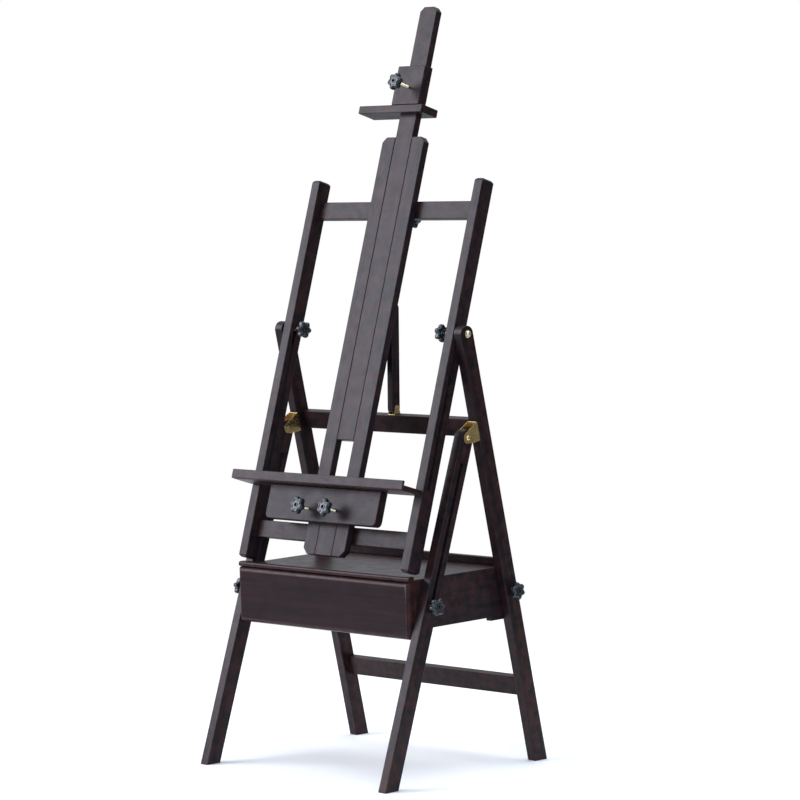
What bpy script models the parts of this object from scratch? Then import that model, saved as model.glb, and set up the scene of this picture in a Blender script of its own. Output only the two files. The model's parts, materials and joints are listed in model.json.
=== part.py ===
"""Wooden studio easel with a drawer, built as separate named pieces in metres, +Z up, -Y towards the painter.

Side-view layout, all angles about X: two rear legs rise from the floor to an apex pivot, two front legs
hang from brass brackets on the rear legs, and the easel frame (stiles, crossbars, mast) leans back on the
apex bolts. Each leaning assembly is modelled upright in its own frame and turned by the empty that
carries it.
"""

import math

import bmesh
import bpy
from mathutils import Vector

GAP = 0.0003  # clearance kept between pieces that touch
OVERCUT = 0.0100  # how far a cutter runs past the piece it cuts

# Overall layout
HALF_WIDTH = 0.305  # outer faces of the legs
APEX_Z = 0.9847  # height of the frame's pivot bolts
REAR_LEAN = math.radians(11.43)
FRONT_LEAN = math.radians(-19.64)
FRAME_LEAN = math.radians(-17.84)
LEG_THICK = 0.025
LEG_WIDE = 0.037
LEG_INNER = HALF_WIDTH - LEG_THICK

# Rear leg frame: heights are measured down the leg from the apex, depths forward of the leg's centre line
UPPER_BAR_TOP = 0.1975
UPPER_BAR_BOTTOM = 0.2392
LOWER_BAR_TOP = 0.8076
LOWER_BAR_BOTTOM = 0.8508
REAR_BAR_FRONT = 0.0030
REAR_BAR_BACK = -0.0170
HINGE_DROP = 0.2242  # front-leg pin, down the rear leg
HINGE_STANDOFF = 0.0178  # clear space between the two legs at the front-leg pin
HINGE_FORWARD = LEG_WIDE + HINGE_STANDOFF  # the pin, forward of the rear leg's centre line
BRACKET_TOP = 0.1970
BRACKET_BOTTOM = 0.2400
BRACKET_SHEET = 0.0015
BRACKET_TIP_RADIUS = 0.0130
HINGE_PIN_RADIUS = 0.0030
RIVET_RADIUS = 0.0050
RIVET_HEIGHT = 0.0012
BRACKET_HEEL = 0.72  # where the bracket's lower edge leaves its base, as a share of the pin's reach
BRACKET_SHOULDER = 0.55  # and where its upper edge does
BRACKET_SLOPE = 0.0035
REAR_BOLT_DROP = 0.5980

# Front legs
FRONT_BOLT_DROP = 0.3840
FRONT_SLOT_TOP = 0.0600
FRONT_SLOT_BOTTOM = 0.3925

# Fasteners
BOLT_RADIUS = 0.0030
HOLE_RADIUS = BOLT_RADIUS + GAP
SLOT_CLEAR = 0.0008  # a case bolt in its leg's slot
LEG_SLOT_RADIUS = BOLT_RADIUS + SLOT_CLEAR
PIN_HOLE_RADIUS = HINGE_PIN_RADIUS + GAP
APEX_BOLT_RADIUS = 0.0040
APEX_HOLE_RADIUS = APEX_BOLT_RADIUS + GAP
CAP_NUT_RADIUS = 0.0090
CAP_NUT_HEIGHT = 0.0080
KNOB_RADIUS = 0.0205
KNOB_THICK = 0.0140
KNOB_LOBES = 6
KNOB_LOBE_DEPTH = 0.16
HUB_RADIUS = 0.0080
HUB_LENGTH = 0.0060
BOLT_PROUD = 0.0012  # bolt end standing out of a knob's face
KNOB_STANDOFF = 0.0100  # from the clamped face to a knob's lobed disc
APEX_KNOB_STANDOFF = 0.0201
BOLT_END_CLEAR = 0.0020  # a front case bolt ends this far inside its leg

# Easel frame: heights up the stile from the apex, depths forward of the apex axis
STILE_CLEAR = 0.0025  # stile to leg, where the apex bolt's collar sits
STILE_OUTER = LEG_INNER - STILE_CLEAR
STILE_THICK = 0.0254
STILE_INNER = STILE_OUTER - STILE_THICK
FRAME_FRONT = 0.0165
MAST_BACK = -0.0018
STILE_BACK = -0.0210
STILE_TOP = 0.3563
STILE_BOTTOM = -0.5447
STILE_END_CHAMFER = 0.0050
SLOT_BOTTOM = -0.3550
BAR_FRONT = MAST_BACK - GAP
BAR_THICK = 0.0184
BAR_BACK = BAR_FRONT - BAR_THICK
TOP_BAR_LOW = 0.2664
TOP_BAR_HIGH = 0.3072
BOTTOM_BAR_LOW = -0.4923
BOTTOM_BAR_HIGH = -0.4526
POST_HALF = 0.0270
POST_CLEAR = 0.0005
MAST_RAIL_WIDE = 0.0403
MAST_HALF = POST_HALF + POST_CLEAR + MAST_RAIL_WIDE
MAST_TOP = 0.4560
MAST_BOTTOM = -0.5243
MAST_TOP_CHAMFER = 0.0120
MAST_BOTTOM_CHAMFER = 0.0140
FOOT_BLOCK_TOP = -0.4500
POST_FACE_CLEAR = 0.0002  # the post sits this much inside the mast's faces
POST_BOTTOM = -0.2577
POST_TOP = 0.7680
POST_CHAMFER = 0.0110
GUIDE_BOTTOM = -0.0820
GUIDE_TOP_CLEAR = 0.0164  # guide rail to the top crossbar
GUIDE_TOP = TOP_BAR_LOW - GUIDE_TOP_CLEAR
GUIDE_LAP = 0.0180  # the guide board's lap on each mast rail
GUIDE_BOARD_HALF = POST_HALF + GUIDE_LAP
GUIDE_BOARD_THICK = 0.0080
FIN_HALF = 0.0090
FIN_SLOT_REACH = 0.0239  # from the guide board to the middle of the fin's slot
FIN_SLOT_DEPTH = BAR_FRONT - GUIDE_BOARD_THICK - FIN_SLOT_REACH
FIN_MARGIN = 0.0240  # from the slot's middle to the fin's back edge
FIN_BACK = FIN_SLOT_DEPTH - FIN_MARGIN
FIN_SLOT_LOW = GUIDE_BOTTOM + 0.0220
FIN_SLOT_HIGH = GUIDE_TOP - 0.0150
STRUT_BOLT_HEIGHT = 0.0630
STRUT_KNOB_STANDOFF = 0.0065
STRUT_BOLT_PAST = 0.0005  # strut bolt's end beyond the fin

# Canvas clamp on the post
CLAMP_CHEEK = 0.0161  # block beside the post
CLAMP_HALF = POST_HALF + POST_CLEAR + CLAMP_CHEEK
CLAMP_THICK = 0.0175  # block in front of the post
CLAMP_FRONT = FRAME_FRONT + GAP + CLAMP_THICK
CLAMP_CHEEK_BACK = FRAME_FRONT - 0.0079
CLAMP_LOW = 0.5279
CLAMP_HIGH = 0.6205
PLATE_LEFT_PAST = 0.1044  # the plate's reach past the block on each side
PLATE_RIGHT_PAST = 0.0137
PLATE_LEFT = -CLAMP_HALF - PLATE_LEFT_PAST
PLATE_RIGHT = CLAMP_HALF + PLATE_RIGHT_PAST
PLATE_BEHIND = 0.0179  # plate behind the post
PLATE_BACK = MAST_BACK - PLATE_BEHIND
PLATE_THICK = 0.0184
PLATE_LOW = CLAMP_LOW - PLATE_THICK
CLAMP_SCREW_HEIGHT = 0.5700
CLAMP_KNOB_REACH = 0.0357  # from the block's face to the knob's lobed disc
CLAMP_KNOB_DEPTH = CLAMP_FRONT + CLAMP_KNOB_REACH

# Tray
TRAY_SIDE_CLEAR = 0.0008  # tray to leg, as it slides past
TRAY_HALF = LEG_INNER - TRAY_SIDE_CLEAR
TRAY_BACK_CLEAR = 0.0023  # tray to mast
TRAY_BACK = FRAME_FRONT + TRAY_BACK_CLEAR
SHELF_FRONT = 0.0780
SHELF_LOW = -0.3745
SHELF_THICK = 0.0125
SHELF_HIGH = SHELF_LOW + SHELF_THICK
LIP_THICK = 0.0060
LIP_LOW = SHELF_LOW + 0.0005
LIP_RISE = 0.0097  # lip above the shelf
LIP_HIGH = SHELF_HIGH + LIP_RISE
APRON_HALF = 0.1800
RUNNER_THICK = 0.0091
APRON_BACK = FRAME_FRONT + 2 * GAP + RUNNER_THICK
APRON_THICK = 0.0218
APRON_FRONT = APRON_BACK + APRON_THICK
APRON_DEEP = 0.0791
APRON_LOW = SHELF_LOW - GAP - APRON_DEEP
APRON_CORNER = 0.0120
TRAY_BOLT_IN = 0.0165  # bolt line to a mast rail's inner edge
TRAY_BOLT_X = POST_HALF + POST_CLEAR + TRAY_BOLT_IN
RUNNER_PAST = 0.0160  # runner past each bolt line
RUNNER_HALF = TRAY_BOLT_X + RUNNER_PAST
TRAY_BOLT_RISE = 0.0289  # bolt line above the apron's lower edge
TRAY_BOLT_HEIGHT = APRON_LOW + TRAY_BOLT_RISE
TRAY_KNOB_REACH = 0.0260  # from the apron's face to the knob's lobed disc
TRAY_KNOB_DEPTH = APRON_FRONT + TRAY_KNOB_REACH

# Post lock behind the top crossbar
LOCK_X = 0.0160
LOCK_RISE = 0.0096  # bolt line above the top crossbar's lower edge
LOCK_HEIGHT = TOP_BAR_LOW + LOCK_RISE
LOCK_KNOB_REACH = 0.0215  # from the crossbar's back to the knob's lobed disc
LOCK_KNOB_DEPTH = BAR_BACK - LOCK_KNOB_REACH

# Back strut
STRUT_CLEAR = 0.0010  # strut to fin
STRUT_LEFT = FIN_HALF + STRUT_CLEAR
STRUT_THICK = 0.0180
STRUT_WIDE = 0.0230
STRUT_HINGE_BACK = 0.0013  # strut pin, behind the middle of the crossbar
STRUT_HINGE_FORWARD = (REAR_BAR_FRONT + REAR_BAR_BACK) / 2 - STRUT_HINGE_BACK
STRUT_FOOT_CLEAR = 0.0025  # strut's round foot above the crossbar
STRUT_HINGE_DROP = UPPER_BAR_TOP - STRUT_WIDE / 2 - STRUT_FOOT_CLEAR
STRUT_EAR = 0.0018
STRUT_EAR_RADIUS = 0.0075
STRUT_EAR_INSET = 0.0010
STRUT_PIN_PROUD = 0.0010

# Drawer case, measured from the rear case bolt
CASE_SIDE_CLEAR = 0.0015  # case to leg
CASE_HALF = LEG_INNER - CASE_SIDE_CLEAR
CASE_PANEL = 0.0150
CASE_FRONT = -0.2825
CASE_BACK = 0.0115
CASE_TOP = 0.0535
CASE_TOP_PANEL = 0.0120
CASE_BOTTOM = -0.0585
CASE_BOTTOM_PANEL = 0.0060
CASE_CLEAT_FRONT = -0.0435
CASE_CLEAT_DEEP = 0.0080
CASE_CLEAT_BOTTOM = CASE_BOTTOM - CASE_CLEAT_DEEP
CASE_RAIL_FRONT = CASE_BACK - 0.0180
CASE_RAIL_THICK = 0.0140
CASE_RAIL_HIGH = 0.0180
CASE_BOTTOM_INSET = 0.0020
CASE_BOLT_DEPTH = 0.0080  # a rear case bolt's reach into the case side
MOULDING_PROUD = 0.0180  # moulding in front of the case
MOULDING_FRONT = CASE_FRONT - MOULDING_PROUD
MOULDING_RISE = 0.0075  # and above its top
MOULDING_HIGH = CASE_TOP + MOULDING_RISE
MOULDING_THICK = 0.0120
MOULDING_LOW = MOULDING_HIGH - MOULDING_THICK

# Drawer
DRAWER_FRONT_INSET = 0.0005
DRAWER_FRONT_HALF = CASE_HALF - DRAWER_FRONT_INSET
DRAWER_SHUT_CLEAR = 0.0008  # drawer front to case when shut
DRAWER_FRONT_BACK = CASE_FRONT - DRAWER_SHUT_CLEAR
DRAWER_FRONT_THICK = 0.0212
DRAWER_FACE = DRAWER_FRONT_BACK - DRAWER_FRONT_THICK
DRAWER_FRONT_LOW = CASE_BOTTOM - 0.0200
DRAWER_TOP_CLEAR = 0.0007  # drawer front to moulding
DRAWER_FRONT_HIGH = MOULDING_LOW - DRAWER_TOP_CLEAR
DRAWER_FRONT_ROUND = 0.0115
DRAWER_SIDE_CLEAR = 0.0015  # drawer to case side
DRAWER_HALF = CASE_HALF - CASE_PANEL - DRAWER_SIDE_CLEAR
DRAWER_WALL = 0.0100
DRAWER_FLOOR_CLEAR = 0.0020  # drawer above the case's bottom panel
DRAWER_LOW = CASE_BOTTOM + CASE_BOTTOM_PANEL + DRAWER_FLOOR_CLEAR
DRAWER_ROOF_CLEAR = 0.0100  # drawer below the case's top panel
DRAWER_HIGH = CASE_TOP - CASE_TOP_PANEL - DRAWER_ROOF_CLEAR
DRAWER_BACK_CLEAR = 0.0150  # drawer to the case's back panel
DRAWER_BACK = CASE_BACK - CASE_PANEL - DRAWER_BACK_CLEAR
DRAWER_FLOOR = 0.0050

ARC_STEPS = 12
ROUND_STEPS = 24
KNOB_STEPS = 48


def turned(y, z, angle):
    """A side-view point of a leaning frame, turned into world directions."""
    return (
        y * math.cos(angle) - z * math.sin(angle),
        y * math.sin(angle) + z * math.cos(angle),
    )


HINGE_Y, HINGE_Z = turned(-HINGE_FORWARD, -HINGE_DROP, REAR_LEAN)
HINGE_Z += APEX_Z
FRONT_FOOT = HINGE_Y + HINGE_Z * math.tan(FRONT_LEAN) - LEG_WIDE / 2 / math.cos(FRONT_LEAN)
REAR_BOLT_Y, REAR_BOLT_Z = turned(0.0, -REAR_BOLT_DROP, REAR_LEAN)
REAR_BOLT_Z += APEX_Z
POST_BACK_Y = turned(-MAST_BACK, POST_TOP, FRAME_LEAN)[0]
APEX_Y = -(FRONT_FOOT + POST_BACK_Y) / 2
STRUT_Y, STRUT_Z = turned(-STRUT_HINGE_FORWARD, -STRUT_HINGE_DROP, REAR_LEAN)
STRUT_Z += APEX_Z
STRUT_TOP_Y, STRUT_TOP_Z = turned(-FIN_SLOT_DEPTH, STRUT_BOLT_HEIGHT, FRAME_LEAN)
STRUT_TOP_Z += APEX_Z
STRUT_LENGTH = math.hypot(STRUT_TOP_Y - STRUT_Y, STRUT_TOP_Z - STRUT_Z)
STRUT_LEAN = -math.atan2(STRUT_TOP_Y - STRUT_Y, STRUT_TOP_Z - STRUT_Z)

for old in list(bpy.data.objects):
    bpy.data.objects.remove(old, do_unlink=True)

SCENE = bpy.context.scene.collection


def material(name, colour, roughness, metallic):
    """A plain Principled material."""
    mat = bpy.data.materials.new(name)
    mat.use_nodes = True
    shader = mat.node_tree.nodes["Principled BSDF"]
    shader.inputs["Base Color"].default_value = (*colour, 1.0)
    shader.inputs["Roughness"].default_value = roughness
    shader.inputs["Metallic"].default_value = metallic
    return mat


FINISHES = {
    "walnut": ((0.075, 0.055, 0.052), 0.40, 0.0),
    "drawer_wood": ((0.120, 0.060, 0.048), 0.35, 0.0),
    "inside_wood": ((0.300, 0.200, 0.120), 0.60, 0.0),
    "brass": ((0.800, 0.620, 0.330), 0.25, 1.0),
    "steel": ((0.620, 0.610, 0.590), 0.30, 1.0),
    "knob_plastic": ((0.015, 0.015, 0.017), 0.30, 0.0),
}


def empty(name, y, z, lean):
    """A carrier for one leaning assembly, turned about X."""
    carrier = bpy.data.objects.new(name, None)
    carrier.location = (0.0, y, z)
    carrier.rotation_euler = (lean, 0.0, 0.0)
    SCENE.objects.link(carrier)
    return carrier


def add(name, shape, parent, finish, origin=(0.0, 0.0, 0.0)):
    """One named piece from a bmesh in its carrier's axes, with its origin moved to the given point."""
    shift = Vector(origin)
    bmesh.ops.translate(shape, verts=shape.verts, vec=-shift)
    bmesh.ops.recalc_face_normals(shape, faces=shape.faces)
    mesh = bpy.data.meshes.new(name)
    shape.to_mesh(mesh)
    shape.free()
    piece = bpy.data.objects.new(name, mesh)
    piece.location = shift
    piece.parent = parent
    SCENE.objects.link(piece)
    if finish is not None:
        colour, roughness, metallic = FINISHES[finish]
        mesh.materials.append(material(name + "_finish", colour, roughness, metallic))
    return piece


def prism(points, axis, low, high):
    """A straight bar: an outline across one axis, run from low to high along it."""
    shape = bmesh.new()
    rings = []
    for along in (low, high):
        if axis == "x":
            corners = [(along, a, b) for a, b in points]
        elif axis == "y":
            corners = [(a, along, b) for a, b in points]
        else:
            corners = [(a, b, along) for a, b in points]
        rings.append([shape.verts.new(c) for c in corners])
    count = len(points)
    shape.faces.new(rings[0])
    shape.faces.new(list(reversed(rings[1])))
    for i in range(count):
        j = (i + 1) % count
        shape.faces.new((rings[0][j], rings[0][i], rings[1][i], rings[1][j]))
    return shape


def box(x0, x1, y0, y1, z0, z1):
    """A rectangular block between two corners."""
    return prism([(y0, z0), (y1, z0), (y1, z1), (y0, z1)], "x", x0, x1)


def arc(cy, cz, radius, start, end, steps=ARC_STEPS):
    """Points along an arc, angles in degrees."""
    points = []
    for i in range(steps + 1):
        a = math.radians(start + (end - start) * i / steps)
        points.append((cy + radius * math.cos(a), cz + radius * math.sin(a)))
    return points


def lathe(profile, axis, centre, steps=ROUND_STEPS):
    """A turned solid: (radius, height) pairs from one end of the axis to the other, both ends on the axis."""
    shape = bmesh.new()
    rings = []
    for radius, height in profile:
        ring = []
        if radius == 0.0:
            ring.append(shape.verts.new(around(axis, centre, 0.0, 0.0, height)))
        else:
            for i in range(steps):
                a = 2 * math.pi * i / steps
                u = radius * math.cos(a)
                v = radius * math.sin(a)
                ring.append(shape.verts.new(around(axis, centre, u, v, height)))
        rings.append(ring)
    join_rings(shape, rings)
    return shape


def around(axis, centre, u, v, height):
    """A point beside an axis parallel to x or y; centre gives the axis's two other coordinates."""
    if axis == "x":
        return (height, centre[0] + u, centre[1] + v)
    return (centre[0] + u, height, centre[1] + v)


def join_rings(shape, rings):
    """Faces between rings of points; a ring of one point closes the end."""
    for lower, upper in zip(rings, rings[1:]):
        count = max(len(lower), len(upper))
        for i in range(count):
            j = (i + 1) % count
            if len(lower) == 1:
                shape.faces.new((lower[0], upper[i], upper[j]))
            elif len(upper) == 1:
                shape.faces.new((lower[j], lower[i], upper[0]))
            else:
                shape.faces.new((lower[i], upper[i], upper[j], lower[j]))


def cylinder(radius, axis, centre, low, high, steps=ROUND_STEPS):
    """A plain round bar along x or y."""
    return lathe([(0.0, low), (radius, low), (radius, high), (0.0, high)], axis, centre, steps)


def cut(piece, shape, parent, label):
    """Takes a shape, given in the carrier's axes, out of a piece."""
    cutter = add(piece.name + "_" + label, shape, parent, None)
    cutter.hide_render = True
    cutter.display_type = "WIRE"
    change = piece.modifiers.new(label, "BOOLEAN")
    change.operation = "DIFFERENCE"
    change.solver = "EXACT"
    change.object = cutter


def unite(piece, shape, parent, label):
    """Joins a shape, given in the carrier's axes, to a piece."""
    other = add(piece.name + "_" + label, shape, parent, None)
    other.hide_render = True
    other.display_type = "WIRE"
    change = piece.modifiers.new(label, "BOOLEAN")
    change.operation = "UNION"
    change.solver = "EXACT"
    change.object = other


def slot(radius, low, high, depth, x0, x1):
    """A round-ended slot running up a member, cut across it in x."""
    points = arc(depth, low, radius, 180, 360) + arc(depth, high, radius, 0, 180)
    return prism(points, "x", x0, x1)


def chamfered(outline_low, outline_high, corner, side):
    """An x-z outline whose outer top and bottom corners are cut off; side is +1 or -1 for the cut side."""
    inner, bottom = outline_low
    outer, top = outline_high
    low_cut, high_cut = corner
    points = [
        (inner, bottom),
        (outer - low_cut, bottom),
        (outer, bottom + low_cut),
        (outer, top - high_cut),
        (outer - high_cut, top),
        (inner, top),
    ]
    return [(side * x, z) for x, z in points]


def bevel_faces(shape, chosen, offset, segments):
    """Rounds every edge of the faces for which chosen(normal, centre) holds."""
    shape.normal_update()
    bmesh.ops.recalc_face_normals(shape, faces=shape.faces)
    edges = set()
    for face in shape.faces:
        if chosen(face.normal, face.calc_center_median()):
            edges.update(face.edges)
    bmesh.ops.bevel(
        shape,
        geom=list(edges),
        offset=offset,
        offset_type="OFFSET",
        segments=segments,
        profile=0.5,
        affect="EDGES",
        clamp_overlap=True,
    )
    return shape


def smooth(piece, angle):
    """Shades the round faces smooth and keeps the corners sharp."""
    for polygon in piece.data.polygons:
        polygon.use_smooth = True
    edges = bmesh.new()
    edges.from_mesh(piece.data)
    for edge in edges.edges:
        edge.smooth = edge.calc_face_angle(0.0) < angle
    edges.to_mesh(piece.data)
    edges.free()


def star_knob(name, parent, axis, centre, inner, outward):
    """A lobed knob with a hub; its lobed disc begins at inner, and outward is the way from hub to face."""
    layers = [
        (HUB_RADIUS, -HUB_LENGTH, 0.0),
        (HUB_RADIUS, 0.0, 0.0),
        (KNOB_RADIUS * 0.84, 0.0, 1.0),
        (KNOB_RADIUS * 0.97, KNOB_THICK * 0.22, 1.0),
        (KNOB_RADIUS, KNOB_THICK * 0.45, 1.0),
        (KNOB_RADIUS * 0.95, KNOB_THICK * 0.72, 1.0),
        (KNOB_RADIUS * 0.80, KNOB_THICK * 0.92, 0.9),
        (KNOB_RADIUS * 0.58, KNOB_THICK, 0.6),
    ]
    shape = bmesh.new()
    rings = []
    for radius, height, lobed in layers:
        ring = []
        for i in range(KNOB_STEPS):
            a = 2 * math.pi * i / KNOB_STEPS
            wave = 0.5 - 0.5 * math.cos(KNOB_LOBES * a)
            r = radius * (1.0 - KNOB_LOBE_DEPTH * lobed * wave)
            place = inner + outward * height
            ring.append(shape.verts.new(around(axis, centre, r * math.cos(a), r * math.sin(a), place)))
        rings.append(ring)
    ends = (inner - outward * HUB_LENGTH, inner + outward * KNOB_THICK)
    rings.insert(0, [shape.verts.new(around(axis, centre, 0.0, 0.0, ends[0]))])
    rings.append([shape.verts.new(around(axis, centre, 0.0, 0.0, ends[1]))])
    join_rings(shape, rings)
    origin = around(axis, centre, 0.0, 0.0, inner)
    knob = add(name, shape, parent, "knob_plastic", origin)
    smooth(knob, math.radians(50))
    through = sorted((ends[0] - outward * OVERCUT, ends[1] + outward * OVERCUT))
    bore = cylinder(HOLE_RADIUS, axis, centre, *through)
    cut(knob, bore, parent, "bore")
    return knob


def leg_outline(lean, height):
    """The side view of a leg: round at the pivot, cut level on the floor."""
    half = LEG_WIDE / 2
    front = -(height - half * math.sin(lean)) / math.cos(lean)
    back = -(height + half * math.sin(lean)) / math.cos(lean)
    return [(-half, front), (half, back)] + arc(0.0, 0.0, half, 0, 180)


def rear_frame(carrier):
    """Rear legs with their two crossbars and the brass hinge brackets."""
    for side, word in ((1, "right"), (-1, "left")):
        xs = sorted((side * LEG_INNER, side * HALF_WIDTH))
        leg = add("rear_leg_" + word, prism(leg_outline(REAR_LEAN, APEX_Z), "x", *xs), carrier, "walnut")
        through = (xs[0] - OVERCUT, xs[1] + OVERCUT)
        cut(leg, cylinder(APEX_HOLE_RADIUS, "x", (0.0, 0.0), *through), carrier, "apex_hole")
        cut(leg, cylinder(HOLE_RADIUS, "x", (0.0, -REAR_BOLT_DROP), *through), carrier, "case_hole")
        bracket(word, side, carrier)
    reach = LEG_INNER - GAP
    for name, top, bottom in (
        ("rear_crossbar_upper", UPPER_BAR_TOP, UPPER_BAR_BOTTOM),
        ("rear_crossbar_lower", LOWER_BAR_TOP, LOWER_BAR_BOTTOM),
    ):
        bar = box(-reach, reach, -REAR_BAR_FRONT, -REAR_BAR_BACK, -bottom, -top)
        add(name, bar, carrier, "walnut")


def bracket(word, side, carrier):
    """A brass clevis: a base on the rear leg's front face, two cheeks and the riveted pin between them."""
    base = -(LEG_WIDE / 2 + GAP)
    pin = (-HINGE_FORWARD, -HINGE_DROP)
    outline = [(base, -BRACKET_TOP), (base, -BRACKET_BOTTOM), (pin[0] * BRACKET_HEEL, -BRACKET_BOTTOM)]
    outline += list(reversed(arc(*pin, BRACKET_TIP_RADIUS, 110, 235)))
    outline.append((pin[0] * BRACKET_SHOULDER, -BRACKET_TOP - BRACKET_SLOPE))
    inner = side * (LEG_INNER - GAP - BRACKET_SHEET)
    outer = side * (HALF_WIDTH + GAP + BRACKET_SHEET)
    piece = add("hinge_bracket_" + word, prism(outline, "x", *sorted((inner, outer))), carrier, "brass")
    mouth = sorted((side * (LEG_INNER - GAP), side * (HALF_WIDTH + GAP)))
    cut(piece, box(*mouth, -0.2, base - BRACKET_SHEET, -0.4, 0.0), carrier, "mouth")
    ends = sorted((inner - side * RIVET_HEIGHT, outer + side * RIVET_HEIGHT))
    unite(piece, cylinder(HINGE_PIN_RADIUS, "x", pin, *ends), carrier, "pin")
    outside = sorted((outer - side * BRACKET_SHEET / 2, outer + side * RIVET_HEIGHT))
    unite(piece, cylinder(RIVET_RADIUS, "x", pin, *outside), carrier, "rivet")


def front_legs(carrier):
    """Front legs hung from the brackets, each slotted for its case bolt."""
    for side, word in ((1, "right"), (-1, "left")):
        xs = sorted((side * LEG_INNER, side * HALF_WIDTH))
        leg = add("front_leg_" + word, prism(leg_outline(FRONT_LEAN, HINGE_Z), "x", *xs), carrier, "walnut")
        through = (xs[0] - OVERCUT, xs[1] + OVERCUT)
        cut(leg, cylinder(PIN_HOLE_RADIUS, "x", (0.0, 0.0), *through), carrier, "pin_hole")
        long_slot = slot(LEG_SLOT_RADIUS, -FRONT_SLOT_BOTTOM, -FRONT_SLOT_TOP, 0.0, *through)
        cut(leg, long_slot, carrier, "slot")
        bolt_line = (0.0, -FRONT_BOLT_DROP)
        start = LEG_INNER + BOLT_END_CLEAR
        bolt_and_knob("case_front_" + word, carrier, "x", bolt_line, side, start, HALF_WIDTH)


def bolt_and_knob(stem, carrier, axis, centre, outward, start, face):
    """A plain bolt from start, and its star knob standing outside face; both distances are along outward."""
    inner = face + KNOB_STANDOFF
    end = inner + KNOB_THICK + BOLT_PROUD
    reach = sorted((outward * start, outward * end))
    bolt = cylinder(BOLT_RADIUS, axis, centre, *reach)
    origin = around(axis, centre, 0.0, 0.0, outward * face)
    smooth(add(stem + "_bolt", bolt, carrier, "steel", origin), math.radians(50))
    star_knob(stem + "_knob", carrier, axis, centre, outward * inner, outward)


def apex_fasteners(carrier):
    """Pivot bolts with a domed nut outside the leg, a spacer collar and a star knob inside the stile."""
    for side, word in ((1, "right"), (-1, "left")):
        knob_face = STILE_INNER - APEX_KNOB_STANDOFF
        profile = [
            (0.0, knob_face - KNOB_THICK - BOLT_PROUD),
            (BOLT_RADIUS, knob_face - KNOB_THICK - BOLT_PROUD),
            (BOLT_RADIUS, knob_face + HUB_LENGTH + 0.001),
            (APEX_BOLT_RADIUS, knob_face + HUB_LENGTH + 0.001),
            (APEX_BOLT_RADIUS, STILE_OUTER + GAP),
            (CAP_NUT_RADIUS, STILE_OUTER + GAP),
            (CAP_NUT_RADIUS, LEG_INNER - GAP),
            (APEX_BOLT_RADIUS, LEG_INNER - GAP),
            (APEX_BOLT_RADIUS, HALF_WIDTH + GAP),
            (CAP_NUT_RADIUS, HALF_WIDTH + GAP),
            (CAP_NUT_RADIUS, HALF_WIDTH + CAP_NUT_HEIGHT * 0.35),
            (CAP_NUT_RADIUS * 0.82, HALF_WIDTH + CAP_NUT_HEIGHT * 0.72),
            (CAP_NUT_RADIUS * 0.45, HALF_WIDTH + CAP_NUT_HEIGHT * 0.94),
            (0.0, HALF_WIDTH + CAP_NUT_HEIGHT),
        ]
        profile = [(r, side * x) for r, x in profile]
        bolt = add("apex_bolt_" + word, lathe(profile, "x", (0.0, 0.0)), carrier, "steel")
        smooth(bolt, math.radians(50))
        star_knob("apex_knob_" + word, carrier, "x", (0.0, 0.0), side * knob_face, -side)


def easel_frame(carrier):
    """Slotted stiles, two crossbars, two mast rails with their foot block, and the guide behind the mast."""
    for side, word in ((1, "right"), (-1, "left")):
        xs = sorted((side * STILE_INNER, side * STILE_OUTER))
        bar = box(*xs, -FRAME_FRONT, -STILE_BACK, STILE_BOTTOM, STILE_TOP)
        bevel_faces(bar, lambda normal, centre: abs(normal.z) > 0.9, STILE_END_CHAMFER, 1)
        stile = add("stile_" + word, bar, carrier, "walnut")
        opening = slot(APEX_HOLE_RADIUS, SLOT_BOTTOM, 0.0, 0.0, xs[0] - OVERCUT, xs[1] + OVERCUT)
        cut(stile, opening, carrier, "slot")
        inner = POST_HALF + POST_CLEAR
        outline = chamfered(
            (inner, MAST_BOTTOM), (MAST_HALF, MAST_TOP), (MAST_BOTTOM_CHAMFER, MAST_TOP_CHAMFER), side
        )
        add("mast_rail_" + word, prism(outline, "y", -FRAME_FRONT, -MAST_BACK), carrier, "walnut")
    reach = STILE_INNER - GAP
    for name, low, high in (
        ("frame_crossbar_top", TOP_BAR_LOW, TOP_BAR_HIGH),
        ("frame_crossbar_bottom", BOTTOM_BAR_LOW, BOTTOM_BAR_HIGH),
    ):
        bar = add(name, box(-reach, reach, -BAR_FRONT, -BAR_BACK, low, high), carrier, "walnut")
        if name.endswith("top"):
            hole = cylinder(HOLE_RADIUS, "y", (LOCK_X, LOCK_HEIGHT), -OVERCUT, -BAR_BACK + OVERCUT)
            cut(bar, hole, carrier, "lock_hole")
    inner = POST_HALF + POST_CLEAR - GAP
    block = box(-inner, inner, -FRAME_FRONT, -MAST_BACK, MAST_BOTTOM, FOOT_BLOCK_TOP)
    add("mast_foot_block", block, carrier, "walnut")
    near = -BAR_FRONT
    board = near + GUIDE_BOARD_THICK
    outline = [
        (-GUIDE_BOARD_HALF, near),
        (GUIDE_BOARD_HALF, near),
        (GUIDE_BOARD_HALF, board),
        (FIN_HALF, board),
        (FIN_HALF, -FIN_BACK),
        (-FIN_HALF, -FIN_BACK),
        (-FIN_HALF, board),
        (-GUIDE_BOARD_HALF, board),
    ]
    guide = add("strut_guide_rail", prism(outline, "z", GUIDE_BOTTOM, GUIDE_TOP), carrier, "walnut")
    reach = FIN_HALF + OVERCUT
    opening = slot(HOLE_RADIUS, FIN_SLOT_LOW, FIN_SLOT_HIGH, -FIN_SLOT_DEPTH, -reach, reach)
    cut(guide, opening, carrier, "slot")


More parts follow.
